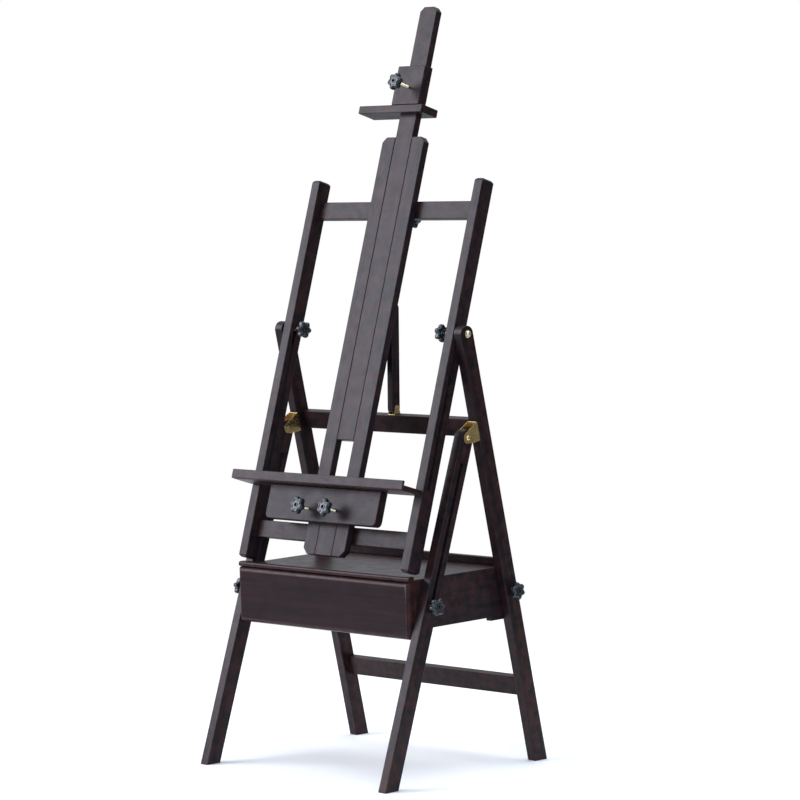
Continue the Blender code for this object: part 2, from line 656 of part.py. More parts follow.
def centre_post(carrier):
    """The sliding post between the mast rails."""
    side = POST_HALF
    outline = [
        (-side, POST_BOTTOM),
        (side, POST_BOTTOM),
        (side, POST_TOP - POST_CHAMFER),
        (side - POST_CHAMFER, POST_TOP),
        (POST_CHAMFER - side, POST_TOP),
        (-side, POST_TOP - POST_CHAMFER),
    ]
    shape = prism(outline, "y", -FRAME_FRONT + POST_FACE_CLEAR, -MAST_BACK - POST_FACE_CLEAR)
    add("centre_post", shape, carrier, "walnut")


def canvas_clamp(carrier):
    """The block that rides on the post, the plate under it, and the screw with its star knob."""
    hollow = POST_HALF + POST_CLEAR
    front_of_post = -(FRAME_FRONT + GAP)
    outline = [
        (-CLAMP_HALF, -CLAMP_FRONT),
        (CLAMP_HALF, -CLAMP_FRONT),
        (CLAMP_HALF, -CLAMP_CHEEK_BACK),
        (hollow, -CLAMP_CHEEK_BACK),
        (hollow, front_of_post),
        (-hollow, front_of_post),
        (-hollow, -CLAMP_CHEEK_BACK),
        (-CLAMP_HALF, -CLAMP_CHEEK_BACK),
    ]
    block = add("clamp_block", prism(outline, "z", CLAMP_LOW + GAP, CLAMP_HIGH), carrier, "walnut")
    centre = (0.0, CLAMP_SCREW_HEIGHT)
    cut(block, cylinder(HOLE_RADIUS, "y", centre, -CLAMP_FRONT - OVERCUT, 0.0), carrier, "screw_hole")
    plate_box = box(PLATE_LEFT, PLATE_RIGHT, -CLAMP_FRONT, -PLATE_BACK, PLATE_LOW, CLAMP_LOW)
    plate = add("clamp_plate", plate_box, carrier, "walnut")
    ends = (PLATE_LOW - OVERCUT, CLAMP_LOW + OVERCUT)
    window = box(-hollow, hollow, front_of_post, -MAST_BACK + POST_CLEAR, *ends)
    cut(plate, window, carrier, "post_window")
    face = CLAMP_KNOB_DEPTH - KNOB_STANDOFF
    bolt_and_knob("clamp", carrier, "y", centre, -1, FRAME_FRONT + GAP, face)


def canvas_tray(carrier):
    """The shelf with its raised lip, the apron under it, the runner on the mast and two bolts with knobs."""
    shelf = box(-TRAY_HALF, TRAY_HALF, -SHELF_FRONT, -TRAY_BACK, SHELF_LOW, SHELF_HIGH)
    add("tray_shelf", shelf, carrier, "walnut")
    lip_back = -(SHELF_FRONT + GAP)
    lip = box(-TRAY_HALF, TRAY_HALF, lip_back - LIP_THICK, lip_back, LIP_LOW, LIP_HIGH)
    add("tray_lip", lip, carrier, "walnut")
    top = SHELF_LOW - GAP
    corner_x = APRON_HALF - APRON_CORNER
    corner_z = APRON_LOW + APRON_CORNER
    outline = [(-APRON_HALF, top)]
    outline += arc(-corner_x, corner_z, APRON_CORNER, 180, 270, 6)
    outline += arc(corner_x, corner_z, APRON_CORNER, 270, 360, 6)
    outline.append((APRON_HALF, top))
    apron = add("tray_apron", prism(outline, "y", -APRON_FRONT, -APRON_BACK), carrier, "walnut")
    back = -(FRAME_FRONT + GAP)
    runner_box = box(-RUNNER_HALF, RUNNER_HALF, -APRON_BACK + GAP, back, APRON_LOW, top)
    runner = add("tray_runner", runner_box, carrier, "walnut")
    for side, word in ((1, "right"), (-1, "left")):
        centre = (side * TRAY_BOLT_X, TRAY_BOLT_HEIGHT)
        for piece in (apron, runner):
            hole = cylinder(HOLE_RADIUS, "y", centre, -APRON_FRONT - OVERCUT, 0.0)
            cut(piece, hole, carrier, "hole_" + word)
        face = TRAY_KNOB_DEPTH - KNOB_STANDOFF
        bolt_and_knob("tray_" + word, carrier, "y", centre, -1, FRAME_FRONT + 2 * GAP, face)


def post_lock(carrier):
    """The bolt through the top crossbar that presses on the post's back."""
    face = -LOCK_KNOB_DEPTH - KNOB_STANDOFF
    bolt_and_knob("post_lock", carrier, "y", (LOCK_X, LOCK_HEIGHT), 1, -MAST_BACK + GAP, face)


def strut_clamp(carrier):
    """The bolt in the guide rail's slot; its end stops short of the strut beside the rail."""
    centre = (-FIN_SLOT_DEPTH, STRUT_BOLT_HEIGHT)
    knob_face = -FIN_HALF - STRUT_KNOB_STANDOFF
    reach = (knob_face - KNOB_THICK - BOLT_PROUD, FIN_HALF + STRUT_BOLT_PAST)
    origin = (-FIN_HALF, *centre)
    bolt = add("strut_bolt", cylinder(BOLT_RADIUS, "x", centre, *reach), carrier, "steel", origin)
    smooth(bolt, math.radians(50))
    star_knob("strut_knob", carrier, "x", centre, knob_face, -1)


def back_strut(carrier):
    """The bar that props the frame, standing in an ear bracket on the upper rear crossbar."""
    half = STRUT_WIDE / 2
    outline = arc(0.0, 0.0, half, 180, 360) + arc(0.0, STRUT_LENGTH, half, 0, 180)
    strut = prism(outline, "x", STRUT_LEFT, STRUT_LEFT + STRUT_THICK)
    bar = add("back_strut", strut, carrier, "walnut")
    through = (STRUT_LEFT - OVERCUT, STRUT_LEFT + STRUT_THICK + OVERCUT)
    cut(bar, cylinder(PIN_HOLE_RADIUS, "x", (0.0, 0.0), *through), carrier, "pin_hole")


def strut_bracket(carrier):
    """A bent metal bracket on the crossbar's top edge, with the strut's pin riveted through its ears."""
    low = -UPPER_BAR_TOP + GAP
    pin = (-STRUT_HINGE_FORWARD, -STRUT_HINGE_DROP)
    left = STRUT_LEFT - GAP - STRUT_EAR
    right = STRUT_LEFT + STRUT_THICK + GAP + STRUT_EAR
    outline = [(-REAR_BAR_FRONT + STRUT_EAR_INSET, low), (-REAR_BAR_BACK - STRUT_EAR_INSET, low)]
    outline += arc(*pin, STRUT_EAR_RADIUS, 20, 160, 8)
    piece = add("strut_bracket", prism(outline, "x", left, right), carrier, "brass")
    mouth = box(left + STRUT_EAR, right - STRUT_EAR, -0.05, 0.05, low + STRUT_EAR, 0.0)
    cut(piece, mouth, carrier, "mouth")
    ends = (left - STRUT_PIN_PROUD, right + STRUT_PIN_PROUD)
    unite(piece, cylinder(HINGE_PIN_RADIUS, "x", pin, *ends), carrier, "pin")


def drawer_case(carrier):
    """The open-fronted case clamped between the legs, a moulding along its front and a rail at its back."""
    inner = CASE_HALF - CASE_PANEL
    for side, word in ((1, "right"), (-1, "left")):
        outline = [
            (CASE_FRONT, CASE_BOTTOM),
            (CASE_CLEAT_FRONT, CASE_BOTTOM),
            (CASE_CLEAT_FRONT, CASE_CLEAT_BOTTOM),
            (CASE_BACK, CASE_CLEAT_BOTTOM),
            (CASE_BACK, CASE_TOP),
            (CASE_FRONT, CASE_TOP),
        ]
        xs = sorted((side * inner, side * CASE_HALF))
        panel = add("case_side_" + word, prism(outline, "x", *xs), carrier, "walnut")
        hole = cylinder(HOLE_RADIUS, "x", (0.0, 0.0), xs[0] - OVERCUT, xs[1] + OVERCUT)
        cut(panel, hole, carrier, "bolt_hole")
        start = CASE_HALF - CASE_BOLT_DEPTH
        bolt_and_knob("case_rear_" + word, carrier, "x", (0.0, 0.0), side, start, HALF_WIDTH)
    reach = inner - GAP
    under_top = CASE_TOP - CASE_TOP_PANEL
    add("case_top", box(-reach, reach, CASE_FRONT, CASE_BACK, under_top, CASE_TOP), carrier, "walnut")
    back_front = CASE_BACK - CASE_PANEL
    back = box(-reach, reach, back_front, CASE_BACK, CASE_CLEAT_BOTTOM, under_top - GAP)
    add("case_back", back, carrier, "walnut")
    floor_top = CASE_BOTTOM + CASE_BOTTOM_PANEL
    floor = box(-reach, reach, CASE_FRONT + CASE_BOTTOM_INSET, back_front - GAP, CASE_BOTTOM, floor_top)
    add("case_bottom", floor, carrier, "inside_wood")
    rail_low = CASE_TOP + GAP
    rail = box(
        -CASE_HALF,
        CASE_HALF,
        CASE_RAIL_FRONT,
        CASE_RAIL_FRONT + CASE_RAIL_THICK,
        rail_low,
        rail_low + CASE_RAIL_HIGH,
    )
    add("case_back_rail", rail, carrier, "walnut")
    radius = (MOULDING_HIGH - MOULDING_LOW) / 2
    middle = (MOULDING_HIGH + MOULDING_LOW) / 2
    behind = CASE_FRONT - GAP
    outline = [(behind, MOULDING_LOW), (behind, MOULDING_HIGH)]
    outline += arc(MOULDING_FRONT + radius, middle, radius, 90, 270)
    moulding = add("case_moulding", prism(outline, "x", -CASE_HALF, CASE_HALF), carrier, "drawer_wood")
    smooth(moulding, math.radians(30))


def drawer(carrier):
    """The drawer: a thick front with rounded edges, two sides, a back and a thin floor."""
    front = box(
        -DRAWER_FRONT_HALF,
        DRAWER_FRONT_HALF,
        DRAWER_FACE,
        DRAWER_FRONT_BACK,
        DRAWER_FRONT_LOW,
        DRAWER_FRONT_HIGH,
    )
    bevel_faces(front, lambda normal, centre: normal.y < -0.9, DRAWER_FRONT_ROUND, 5)
    smooth(add("drawer_front", front, carrier, "drawer_wood"), math.radians(30))
    start = DRAWER_FRONT_BACK + GAP
    for side, word in ((1, "right"), (-1, "left")):
        xs = sorted((side * (DRAWER_HALF - DRAWER_WALL), side * DRAWER_HALF))
        wall = box(*xs, start, DRAWER_BACK, DRAWER_LOW, DRAWER_HIGH)
        add("drawer_side_" + word, wall, carrier, "inside_wood")
    reach = DRAWER_HALF - DRAWER_WALL - GAP
    inside_back = DRAWER_BACK - DRAWER_WALL
    add(
        "drawer_back",
        box(-reach, reach, inside_back, DRAWER_BACK, DRAWER_LOW, DRAWER_HIGH),
        carrier,
        "inside_wood",
    )
    floor_top = DRAWER_LOW + DRAWER_FLOOR
    floor = box(-reach, reach, start, inside_back - GAP, DRAWER_LOW, floor_top)
    add("drawer_floor", floor, carrier, "inside_wood")


rear_carrier = empty("rear_leg_frame", APEX_Y, APEX_Z, REAR_LEAN)
rear_frame(rear_carrier)
strut_bracket(rear_carrier)
front_legs(empty("front_leg_hinge", APEX_Y + HINGE_Y, HINGE_Z, FRONT_LEAN))
frame_carrier = empty("easel_frame_pivot", APEX_Y, APEX_Z, FRAME_LEAN)
apex_fasteners(frame_carrier)
easel_frame(frame_carrier)
centre_post(frame_carrier)
canvas_clamp(frame_carrier)
canvas_tray(frame_carrier)
post_lock(frame_carrier)
strut_clamp(frame_carrier)
back_strut(empty("strut_hinge", APEX_Y + STRUT_Y, STRUT_Z, STRUT_LEAN))
case_carrier = empty("case_bolt_line", APEX_Y + REAR_BOLT_Y, REAR_BOLT_Z, 0.0)
drawer_case(case_carrier)
drawer(case_carrier)
bpy.context.view_layer.update()
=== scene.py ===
"""Dark walnut studio easel with a drawer: rounded timber members, fittings, finishes and studio stage."""

import json
import math

import bmesh
import bpy
from bpy.props import FloatProperty, FloatVectorProperty, IntProperty, PointerProperty
from mathutils import Matrix, Vector

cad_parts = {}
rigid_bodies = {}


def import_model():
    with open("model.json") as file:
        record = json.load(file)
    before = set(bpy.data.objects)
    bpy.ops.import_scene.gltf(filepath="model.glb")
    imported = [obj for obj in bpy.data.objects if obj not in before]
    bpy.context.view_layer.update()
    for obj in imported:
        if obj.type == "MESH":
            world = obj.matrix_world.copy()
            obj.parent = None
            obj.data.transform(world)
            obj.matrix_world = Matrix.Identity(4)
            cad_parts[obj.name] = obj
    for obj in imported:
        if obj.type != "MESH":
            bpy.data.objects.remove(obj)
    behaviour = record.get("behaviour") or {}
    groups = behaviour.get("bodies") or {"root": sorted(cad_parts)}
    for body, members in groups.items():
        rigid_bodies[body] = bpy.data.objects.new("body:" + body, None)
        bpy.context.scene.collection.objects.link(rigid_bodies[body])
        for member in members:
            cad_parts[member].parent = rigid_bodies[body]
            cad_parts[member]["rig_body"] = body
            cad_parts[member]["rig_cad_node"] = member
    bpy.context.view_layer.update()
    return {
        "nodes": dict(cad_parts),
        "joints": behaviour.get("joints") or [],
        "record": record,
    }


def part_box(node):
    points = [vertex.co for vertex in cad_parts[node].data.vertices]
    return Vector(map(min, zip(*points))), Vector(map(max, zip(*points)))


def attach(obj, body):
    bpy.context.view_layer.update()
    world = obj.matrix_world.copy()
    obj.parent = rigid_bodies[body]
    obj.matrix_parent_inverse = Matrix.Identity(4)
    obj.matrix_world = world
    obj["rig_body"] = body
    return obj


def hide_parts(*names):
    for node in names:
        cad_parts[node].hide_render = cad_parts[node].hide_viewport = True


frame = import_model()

bl_info = {
    "name": "Studio easel",
    "version": (1, 0, 0),
    "blender": (4, 5, 0),
    "location": "View3D > Sidebar > Easel",
    "description": "Builds a dark walnut artist's easel with a drawer around its packed frame",
    "category": "Object",
}

JOINTS = {joint["name"]: joint for joint in frame["joints"]}
SLOTS = {part["node"]: part["material_slot"] for part in frame["record"]["subparts"]}
SIDES = ((1, "right"), (-1, "left"))
HAIR = 0.00001  # two places closer than this are the same place
NEAR = 20 * HAIR  # a point this close to a hole's outline is on it
OVERCUT = 0.01  # a cutter's reach past the piece it cuts
SMOOTH = math.radians(38.0)  # faces that meet at less than this shade as one surface
ORIGIN = (0.0, 0.0, 0.0)


def leaning(pivot, upward):
    """The place of an assembly that leans about X, from its origin and its own upward direction."""
    angle = math.atan2(-upward.y, upward.z)
    return Matrix.Translation(pivot) @ Matrix.Rotation(angle, 4, "X")


def corners(node):
    """Every corner of a frame node, in world axes."""
    return [vertex.co.copy() for vertex in frame["nodes"][node].data.vertices]


def assembly_places():
    """The five assemblies' places, each found from the frame's joints and nodes."""
    apex = Vector((0.0, *JOINTS["frame_tilt"]["pos_m"][1:]))
    hinge = Vector((0.0, *JOINTS["front_leg_fold"]["pos_m"][1:]))
    strut = Vector((0.0, *JOINTS["strut_swing"]["pos_m"][1:]))
    foot = [c for c in corners("rear_leg_right") if c.z < 50 * HAIR]
    foot_centre = Vector((0.0, (min(c.y for c in foot) + max(c.y for c in foot)) / 2, 0.0))
    flat = [Vector((0.0, c.y, c.z)) for c in corners("back_strut")]
    strut_tip = max(flat, key=lambda c: (c - strut).length)
    bolt_low, bolt_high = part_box("case_rear_right_bolt")
    case = (bolt_low + bolt_high) / 2
    case.x = 0.0
    return {
        "rear": leaning(apex, (apex - foot_centre).normalized()),
        "front": leaning(hinge, Vector(JOINTS["case_bolt_slide"]["axis"])),
        "frame": leaning(apex, Vector(JOINTS["frame_raise"]["axis"])),
        "strut": leaning(strut, (strut_tip - strut).normalized()),
        "case": Matrix.Translation(case),
    }


PLACES = assembly_places()


def local_corners(node, place):
    """A node's corners in the axes of its assembly."""
    back = PLACES[place].inverted()
    return [back @ corner for corner in corners(node)]


def extents(node, place):
    """Lowest and highest corner of a node in the axes of its assembly."""
    points = local_corners(node, place)
    low = Vector([min(p[i] for p in points) for i in range(3)])
    high = Vector([max(p[i] for p in points) for i in range(3)])
    return low, high


def middle(node, place):
    """The centre of a node in the axes of its assembly."""
    low, high = extents(node, place)
    return (low + high) / 2


class EaselSizes(bpy.types.PropertyGroup):
    """Edge radii and small sizes of the easel's pieces."""

    timber_edge: FloatProperty(
        name="Timber edge", description="Radius of a member's long edges", default=0.0016, unit="LENGTH"
    )
    board_edge: FloatProperty(
        name="Board edge",
        description="Radius of the case and drawer boards' edges",
        default=0.0009, unit="LENGTH",
    )
    rim: FloatProperty(
        name="Slot rim", description="Chamfer round slots and bores", default=0.0005, unit="LENGTH"
    )
    bore: FloatProperty(name="Bore", description="Radius of a bolt hole", default=0.0033, unit="LENGTH")
    apex_bore: FloatProperty(
        name="Apex bore", description="Radius of the pivot bolt's hole", default=0.0043, unit="LENGTH"
    )
    drawer_round: FloatProperty(
        name="Drawer round",
        description="Radius of the drawer front's face edges",
        default=0.0112, unit="LENGTH",
    )
    apron_corner: FloatProperty(
        name="Apron corner", description="Radius of the apron's lower corners", default=0.0118, unit="LENGTH"
    )
    knob_valley: FloatProperty(
        name="Knob valley", description="Depth of a knob's flutes, as a share of its radius", default=0.25
    )
    knob_lobes: IntProperty(name="Knob lobes", description="Number of lobes round a knob", default=6, min=3)
    thread_pitch: FloatProperty(
        name="Thread pitch",
        description="Distance between a bolt's thread crests",
        default=0.00125, unit="LENGTH",
    )
    knob_thick: FloatProperty(
        name="Knob", description="Thickness of a knob's lobed disc", default=0.0140, unit="LENGTH"
    )
    knob_hub: FloatProperty(
        name="Knob hub", description="Radius of a knob's hub", default=0.0078, unit="LENGTH"
    )
    recess: FloatProperty(
        name="Recess",
        description="Depth of a bolt's end below its knob's face",
        default=0.0070, unit="LENGTH",
    )
    stile_clip: FloatProperty(
        name="Stile ends", description="Chamfer round a stile's ends", default=0.0046, unit="LENGTH"
    )
    foot_clip: FloatProperty(
        name="Mast foot", description="Clipped corner at a mast rail's foot", default=0.014, unit="LENGTH"
    )
    head_clip: FloatProperty(
        name="Mast head", description="Clipped corner at a mast rail's head", default=0.012, unit="LENGTH"
    )
    post_clip: FloatProperty(
        name="Post head", description="Clipped corners at the post's head", default=0.011, unit="LENGTH"
    )
    post_slack: FloatProperty(
        name="Post slack", description="Room round the post in its clamp", default=0.0005, unit="LENGTH"
    )
    brass_edge: FloatProperty(
        name="Brass edge", description="Radius of the brackets' edges", default=0.0003, unit="LENGTH"
    )
    plug_radius: FloatProperty(
        name="Plug", description="Radius of a screw hole in a leg's side", default=0.0036, unit="LENGTH"
    )


class EaselFinish(bpy.types.PropertyGroup):
    """Colours of the stain, the metals and the plastic."""

    stain_dark: FloatVectorProperty(
        name="Stain, dark",
        description="Stain in the dense grain",
        default=(0.0052, 0.0040, 0.0056),
        subtype="COLOR",
    )
    stain_light: FloatVectorProperty(
        name="Stain, light",
        description="Stain in the open grain",
        default=(0.0170, 0.0108, 0.0146),
        subtype="COLOR",
    )
    drawer_dark: FloatVectorProperty(
        name="Drawer, dark",
        description="Drawer front's dense grain",
        default=(0.0090, 0.0030, 0.0040),
        subtype="COLOR",
    )
    drawer_light: FloatVectorProperty(
        name="Drawer, light",
        description="Drawer front's open grain",
        default=(0.0260, 0.0090, 0.0112),
        subtype="COLOR",
    )
    # Edge colour: partly rubbed-thin stain, partly a painted highlight on the rounded edges
    worn_and_highlight: FloatVectorProperty(
        name="Worn and highlighted edge",
        description="Stain rubbed thin along the edges",
        default=(0.120, 0.034, 0.020),
        subtype="COLOR",
    )
    bare_dark: FloatVectorProperty(
        name="Bare wood, dark",
        description="Unstained wood's dense grain",
        default=(0.30, 0.17, 0.085),
        subtype="COLOR",
    )
    bare_light: FloatVectorProperty(
        name="Bare wood, light",
        description="Unstained wood's open grain",
        default=(0.52, 0.34, 0.19),
        subtype="COLOR",
    )
    brass: FloatVectorProperty(
        name="Brass", description="Polished brass", default=(0.86, 0.62, 0.28), subtype="COLOR"
    )
    bolt: FloatVectorProperty(
        name="Bolt", description="Yellow zinc on steel", default=(0.72, 0.60, 0.40), subtype="COLOR"
    )
    plastic: FloatVectorProperty(
        name="Knob plastic",
        description="Black moulded plastic",
        default=(0.010, 0.013, 0.017),
        subtype="COLOR",
    )
    gloss: FloatProperty(name="Satin", description="Roughness of the lacquer", default=0.36, min=0.0, max=1.0)


class EaselStage(bpy.types.PropertyGroup):
    """Floor, light and camera."""

    floor: FloatVectorProperty(
        name="Floor", description="Pale floor colour", default=(0.92, 0.92, 0.93), subtype="COLOR"
    )
    key: FloatProperty(
        name="Key light", description="Power of the large light on the left", default=210.0, unit="POWER"
    )
    top: FloatProperty(
        name="Top light", description="Power of the overhead light", default=120.0, unit="POWER"
    )
    fill: FloatProperty(
        name="Fill light", description="Power of the cool light on the right", default=150.0, unit="POWER"
    )
    bounce: FloatProperty(
        name="Room light", description="Strength of the light from the walls", default=0.75, min=0.0
    )
    lens: FloatProperty(name="Lens", description="Focal length on a 36 mm sensor, in mm", default=157.26)


# Modelling helpers


def start():
    """Object mode with nothing selected."""
    if bpy.context.mode != "OBJECT":
        bpy.ops.object.mode_set(mode="OBJECT")
    bpy.ops.object.select_all(action="DESELECT")


def activate(piece):
    """Makes a piece the only selected one."""
    start()
    piece.select_set(True)
    bpy.context.view_layer.objects.active = piece


def select(piece, kind, wanted):
    """Enters edit mode and selects the elements for which wanted(element) holds. Returns how many."""
    activate(piece)
    bpy.ops.object.mode_set(mode="EDIT")
    bpy.ops.mesh.select_mode(type=kind)
    bpy.ops.mesh.select_all(action="DESELECT")
    mesh = bmesh.from_edit_mesh(piece.data)
    mesh.normal_update()
    items = {"VERT": mesh.verts, "EDGE": mesh.edges, "FACE": mesh.faces}[kind]
    chosen = [item for item in items if wanted(item)]
    for item in chosen:
        item.select_set(True)
    bmesh.update_edit_mesh(piece.data)
    return len(chosen)


def block(name, low, high):
    """A cube added at its size and place."""
    start()
    low, high = Vector(low), Vector(high)
    bpy.ops.mesh.primitive_cube_add(size=1.0, location=(low + high) / 2)
    piece = bpy.context.object
    piece.name = name
    piece.scale = high - low
    bpy.ops.object.transform_apply(location=True, rotation=True, scale=True)
    return piece


def rod(name, axis, centre, radius, low, high, steps=32):
    """A round bar along the x, y or z axis from low to high. centre gives all three coordinates."""
    start()
    spot = Vector(centre)
    index = "xyz".index(axis)
    spot[index] = (low + high) / 2
    turn = {"x": (0.0, math.pi / 2, 0.0), "y": (math.pi / 2, 0.0, 0.0), "z": (0.0, 0.0, 0.0)}[axis]
    bpy.ops.mesh.primitive_cylinder_add(
        vertices=steps, radius=radius, depth=high - low, location=spot, rotation=turn
    )
    piece = bpy.context.object
    piece.name = name
    bpy.ops.object.transform_apply(location=True, rotation=True, scale=True)
    return piece


def stadium(name, radius, depth, low, high, x0, x1, steps=48):
    """A round-ended bar across x: a cylinder whose upper half is moved up to the other end."""
    start()
    bpy.ops.mesh.primitive_cylinder_add(
        vertices=steps,
        radius=radius,
        depth=x1 - x0,
        location=((x0 + x1) / 2, depth, low),
        rotation=(math.pi / steps, math.pi / 2, 0.0),
    )
    piece = bpy.context.object
    piece.name = name
    bpy.ops.object.transform_apply(location=True, rotation=True, scale=True)
    select(piece, "VERT", lambda vertex: vertex.co.z > low)
    bpy.ops.transform.translate(value=(0.0, 0.0, high - low))
    start()
    return piece


def combine(piece, other, operation):
    """Cuts another shape out of a piece, or joins it on, and removes the other shape."""
    change = piece.modifiers.new(operation, "BOOLEAN")
    change.operation = operation
    change.solver = "EXACT"
    change.object = other
    activate(piece)
    bpy.ops.object.modifier_apply(modifier=change.name)
    bpy.data.objects.remove(other, do_unlink=True)


def soften(piece, radius, segments=3, where=None, least=50.0):
    """Rounds a piece's sharp edges: all of them, or those for which where(edge) holds."""

    def sharp(edge):
        if len(edge.link_faces) != 2 or edge.calc_face_angle(0.0) < math.radians(least):
            return False
        return where is None or where(edge)

    if select(piece, "EDGE", sharp):
        bpy.ops.mesh.bevel(
            offset=radius, segments=segments, profile=0.5, affect="EDGES", clamp_overlap=False
        )
    start()


def middle_of(edge):
    """The middle of an edge."""
    return (edge.verts[0].co + edge.verts[1].co) / 2


def across(piece, index):
    """Where a cutter starts and ends to pass right through a piece along an axis."""
    places = [vertex.co[index] for vertex in piece.data.vertices]
    return min(places) - OVERCUT, max(places) + OVERCUT


def cut_round(piece, radius, axis, centre=ORIGIN):
    """Drills a hole through a piece along an axis and chamfers its mouths."""
    index = "xyz".index(axis)
    combine(piece, rod("drill", axis, centre, radius, *across(piece, index)), "DIFFERENCE")
    spot = Vector(centre)

    def mouth(edge):
        away = [vertex.co - spot for vertex in edge.verts]
        for vector in away:
            vector[index] = 0.0
        level = abs(edge.verts[0].co[index] - edge.verts[1].co[index]) < HAIR
        return level and all(abs(vector.length - radius) < NEAR for vector in away)

    soften(piece, bpy.context.scene.easel_sizes.rim, 1, mouth)


def cut_slot(piece, wall, rounded=True, span=None):
    """Cuts a round-ended slot along x, with its wall on the given corners: right through, or over a span."""
    depths = [point.y for point in wall]
    heights = [point.z for point in wall]
    radius = (max(depths) - min(depths)) / 2
    depth = (max(depths) + min(depths)) / 2
    bottom = min(heights) + radius
    top = max(heights) - radius
    cutter = stadium("slot", radius, depth, bottom, top, *(span or across(piece, 0)), 32)
    combine(piece, cutter, "DIFFERENCE")

    def mouth(edge):
        flat = abs(edge.verts[0].co.x - edge.verts[1].co.x) < HAIR
        beside = all(abs(v.co.y - depth) < radius + NEAR for v in edge.verts)
        between = all(bottom - radius - NEAR < v.co.z < top + radius + NEAR for v in edge.verts)
        return flat and beside and between

    if rounded:
        soften(piece, bpy.context.scene.easel_sizes.rim, 2, mouth)


def turned_piece(name, stations, steps=32, shape=None):
    """A turned piece along z: a disc shaped by shape(piece), then extruded to each (radius, height)."""
    start()
    first, height = stations[0]
    bpy.ops.mesh.primitive_circle_add(
        vertices=steps, radius=first, fill_type="NGON", location=(0.0, 0.0, height)
    )
    piece = bpy.context.object
    piece.name = name
    bpy.ops.object.transform_apply(location=True, rotation=True, scale=True)
    if shape:
        shape(piece)
    activate(piece)
    bpy.ops.object.mode_set(mode="EDIT")
    bpy.ops.mesh.select_mode(type="FACE")
    bpy.ops.mesh.select_all(action="SELECT")
    radius = first
    for new_radius, new_height in stations[1:]:
        move = {"value": (0.0, 0.0, new_height - height)}
        bpy.ops.mesh.extrude_region_move(TRANSFORM_OT_translate=move)
        ratio = new_radius / radius
        bpy.ops.transform.resize(value=(ratio, ratio, 1.0), center_override=(0.0, 0.0, new_height))
        radius = new_radius
        height = new_height
    bpy.ops.mesh.select_all(action="SELECT")
    bpy.ops.mesh.normals_make_consistent(inside=False)
    start()
    return piece


def put(piece, matrix, name, finish, *nodes):
    """Gives a piece its place, smooth shading and finish, and lets it stand for its frame nodes."""
    activate(piece)
    piece.matrix_world = matrix
    bpy.ops.object.transform_apply(location=True, rotation=True, scale=True)
    bpy.ops.object.shade_smooth_by_angle(angle=SMOOTH)
    bpy.ops.object.modifier_add(type="WEIGHTED_NORMAL")
    piece.modifiers[-1].keep_sharp = True
    bpy.ops.object.modifier_apply(modifier=piece.modifiers[-1].name)
    piece.name = name
    piece.data.name = name
    piece.data.materials.clear()
    piece.data.materials.append(finish)
    node = nodes[0]
    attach(piece, frame["nodes"][node]["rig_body"])
    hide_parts(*nodes)
    return piece


def put_wood(piece, place, node, run):
    """Finishes a wooden piece: stained like its frame node, with the grain along the x, y or z axis."""
    return put(piece, PLACES[place], node + "-wood", wood_finish(node, place, run), node)


def copy_of(piece):
    """A copy with its own mesh."""
    other = piece.copy()
    other.data = piece.data.copy()
    bpy.context.scene.collection.objects.link(other)
    return other


def merged_copy(node):
    """A copy of a frame node with its triangles merged into clean faces."""
    piece = frame["nodes"][node].copy()
    piece.data = frame["nodes"][node].data.copy()
    piece.parent = None
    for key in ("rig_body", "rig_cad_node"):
        del piece[key]
    bpy.context.scene.collection.objects.link(piece)
    activate(piece)
    bpy.ops.object.mode_set(mode="EDIT")
    bpy.ops.mesh.select_all(action="SELECT")
    bpy.ops.mesh.remove_doubles(threshold=HAIR)
    bpy.ops.mesh.dissolve_limited(angle_limit=math.radians(1.0))
    bpy.ops.mesh.customdata_custom_splitnormals_clear()
    start()
    return piece


# Finishes


def group_sockets(name, inputs, outputs):
    """A shader node group with named sockets; returns it with its input and output nodes."""
    group = bpy.data.node_groups.new(name, "ShaderNodeTree")
    for label, kind, value in inputs:
        socket = group.interface.new_socket(name=label, in_out="INPUT", socket_type="NodeSocket" + kind)
        if value is not None:
            socket.default_value = value
    for label, kind in outputs:
        group.interface.new_socket(name=label, in_out="OUTPUT", socket_type="NodeSocket" + kind)
    return group, group.nodes.new("NodeGroupInput"), group.nodes.new("NodeGroupOutput")


def scaled(group, vector, factors):
    """A vector multiplied by three numbers."""
    node = group.nodes.new("ShaderNodeVectorMath")
    node.operation = "MULTIPLY"
    group.links.new(vector, node.inputs[0])
    node.inputs[1].default_value = factors
    return node.outputs[0]


def noise(group, vector, scale, detail, roughness=0.5, distortion=0.0):
    """Noise on a vector; returns its value."""
    node = group.nodes.new("ShaderNodeTexNoise")
    node.inputs["Scale"].default_value = scale
    node.inputs["Detail"].default_value = detail
    node.inputs["Roughness"].default_value = roughness
    node.inputs["Distortion"].default_value = distortion
    group.links.new(vector, node.inputs["Vector"])
    return node.outputs["Fac"]


def ranged(group, value, low, high, to_low=0.0, to_high=1.0):
    """A value mapped from one range to another, held inside it."""
    node = group.nodes.new("ShaderNodeMapRange")
    node.inputs["From Min"].default_value = low
    node.inputs["From Max"].default_value = high
    node.inputs["To Min"].default_value = to_low
    node.inputs["To Max"].default_value = to_high
    group.links.new(value, node.inputs["Value"])
    return node.outputs["Result"]


def sums(group, operation, first, second):
    """First and second, sockets or numbers, put through one arithmetic step."""
    node = group.nodes.new("ShaderNodeMath")
    node.operation = operation
    for socket, value in zip(node.inputs, (first, second)):
        if isinstance(value, (int, float)):
            socket.default_value = value
        else:
            group.links.new(value, socket)
    return node.outputs[0]


def blend_colours(tree, factor, first, second):
    """A mix of two colours, each a socket or three numbers, by a factor socket."""
    node = tree.nodes.new("ShaderNodeMix")
    node.data_type = "RGBA"
    tree.links.new(factor, node.inputs[0])
    for socket, value in ((node.inputs[6], first), (node.inputs[7], second)):
        if isinstance(value, bpy.types.NodeSocket):
            tree.links.new(value, socket)
        else:
            socket.default_value = (*value, 1.0)
    return node.outputs[2]


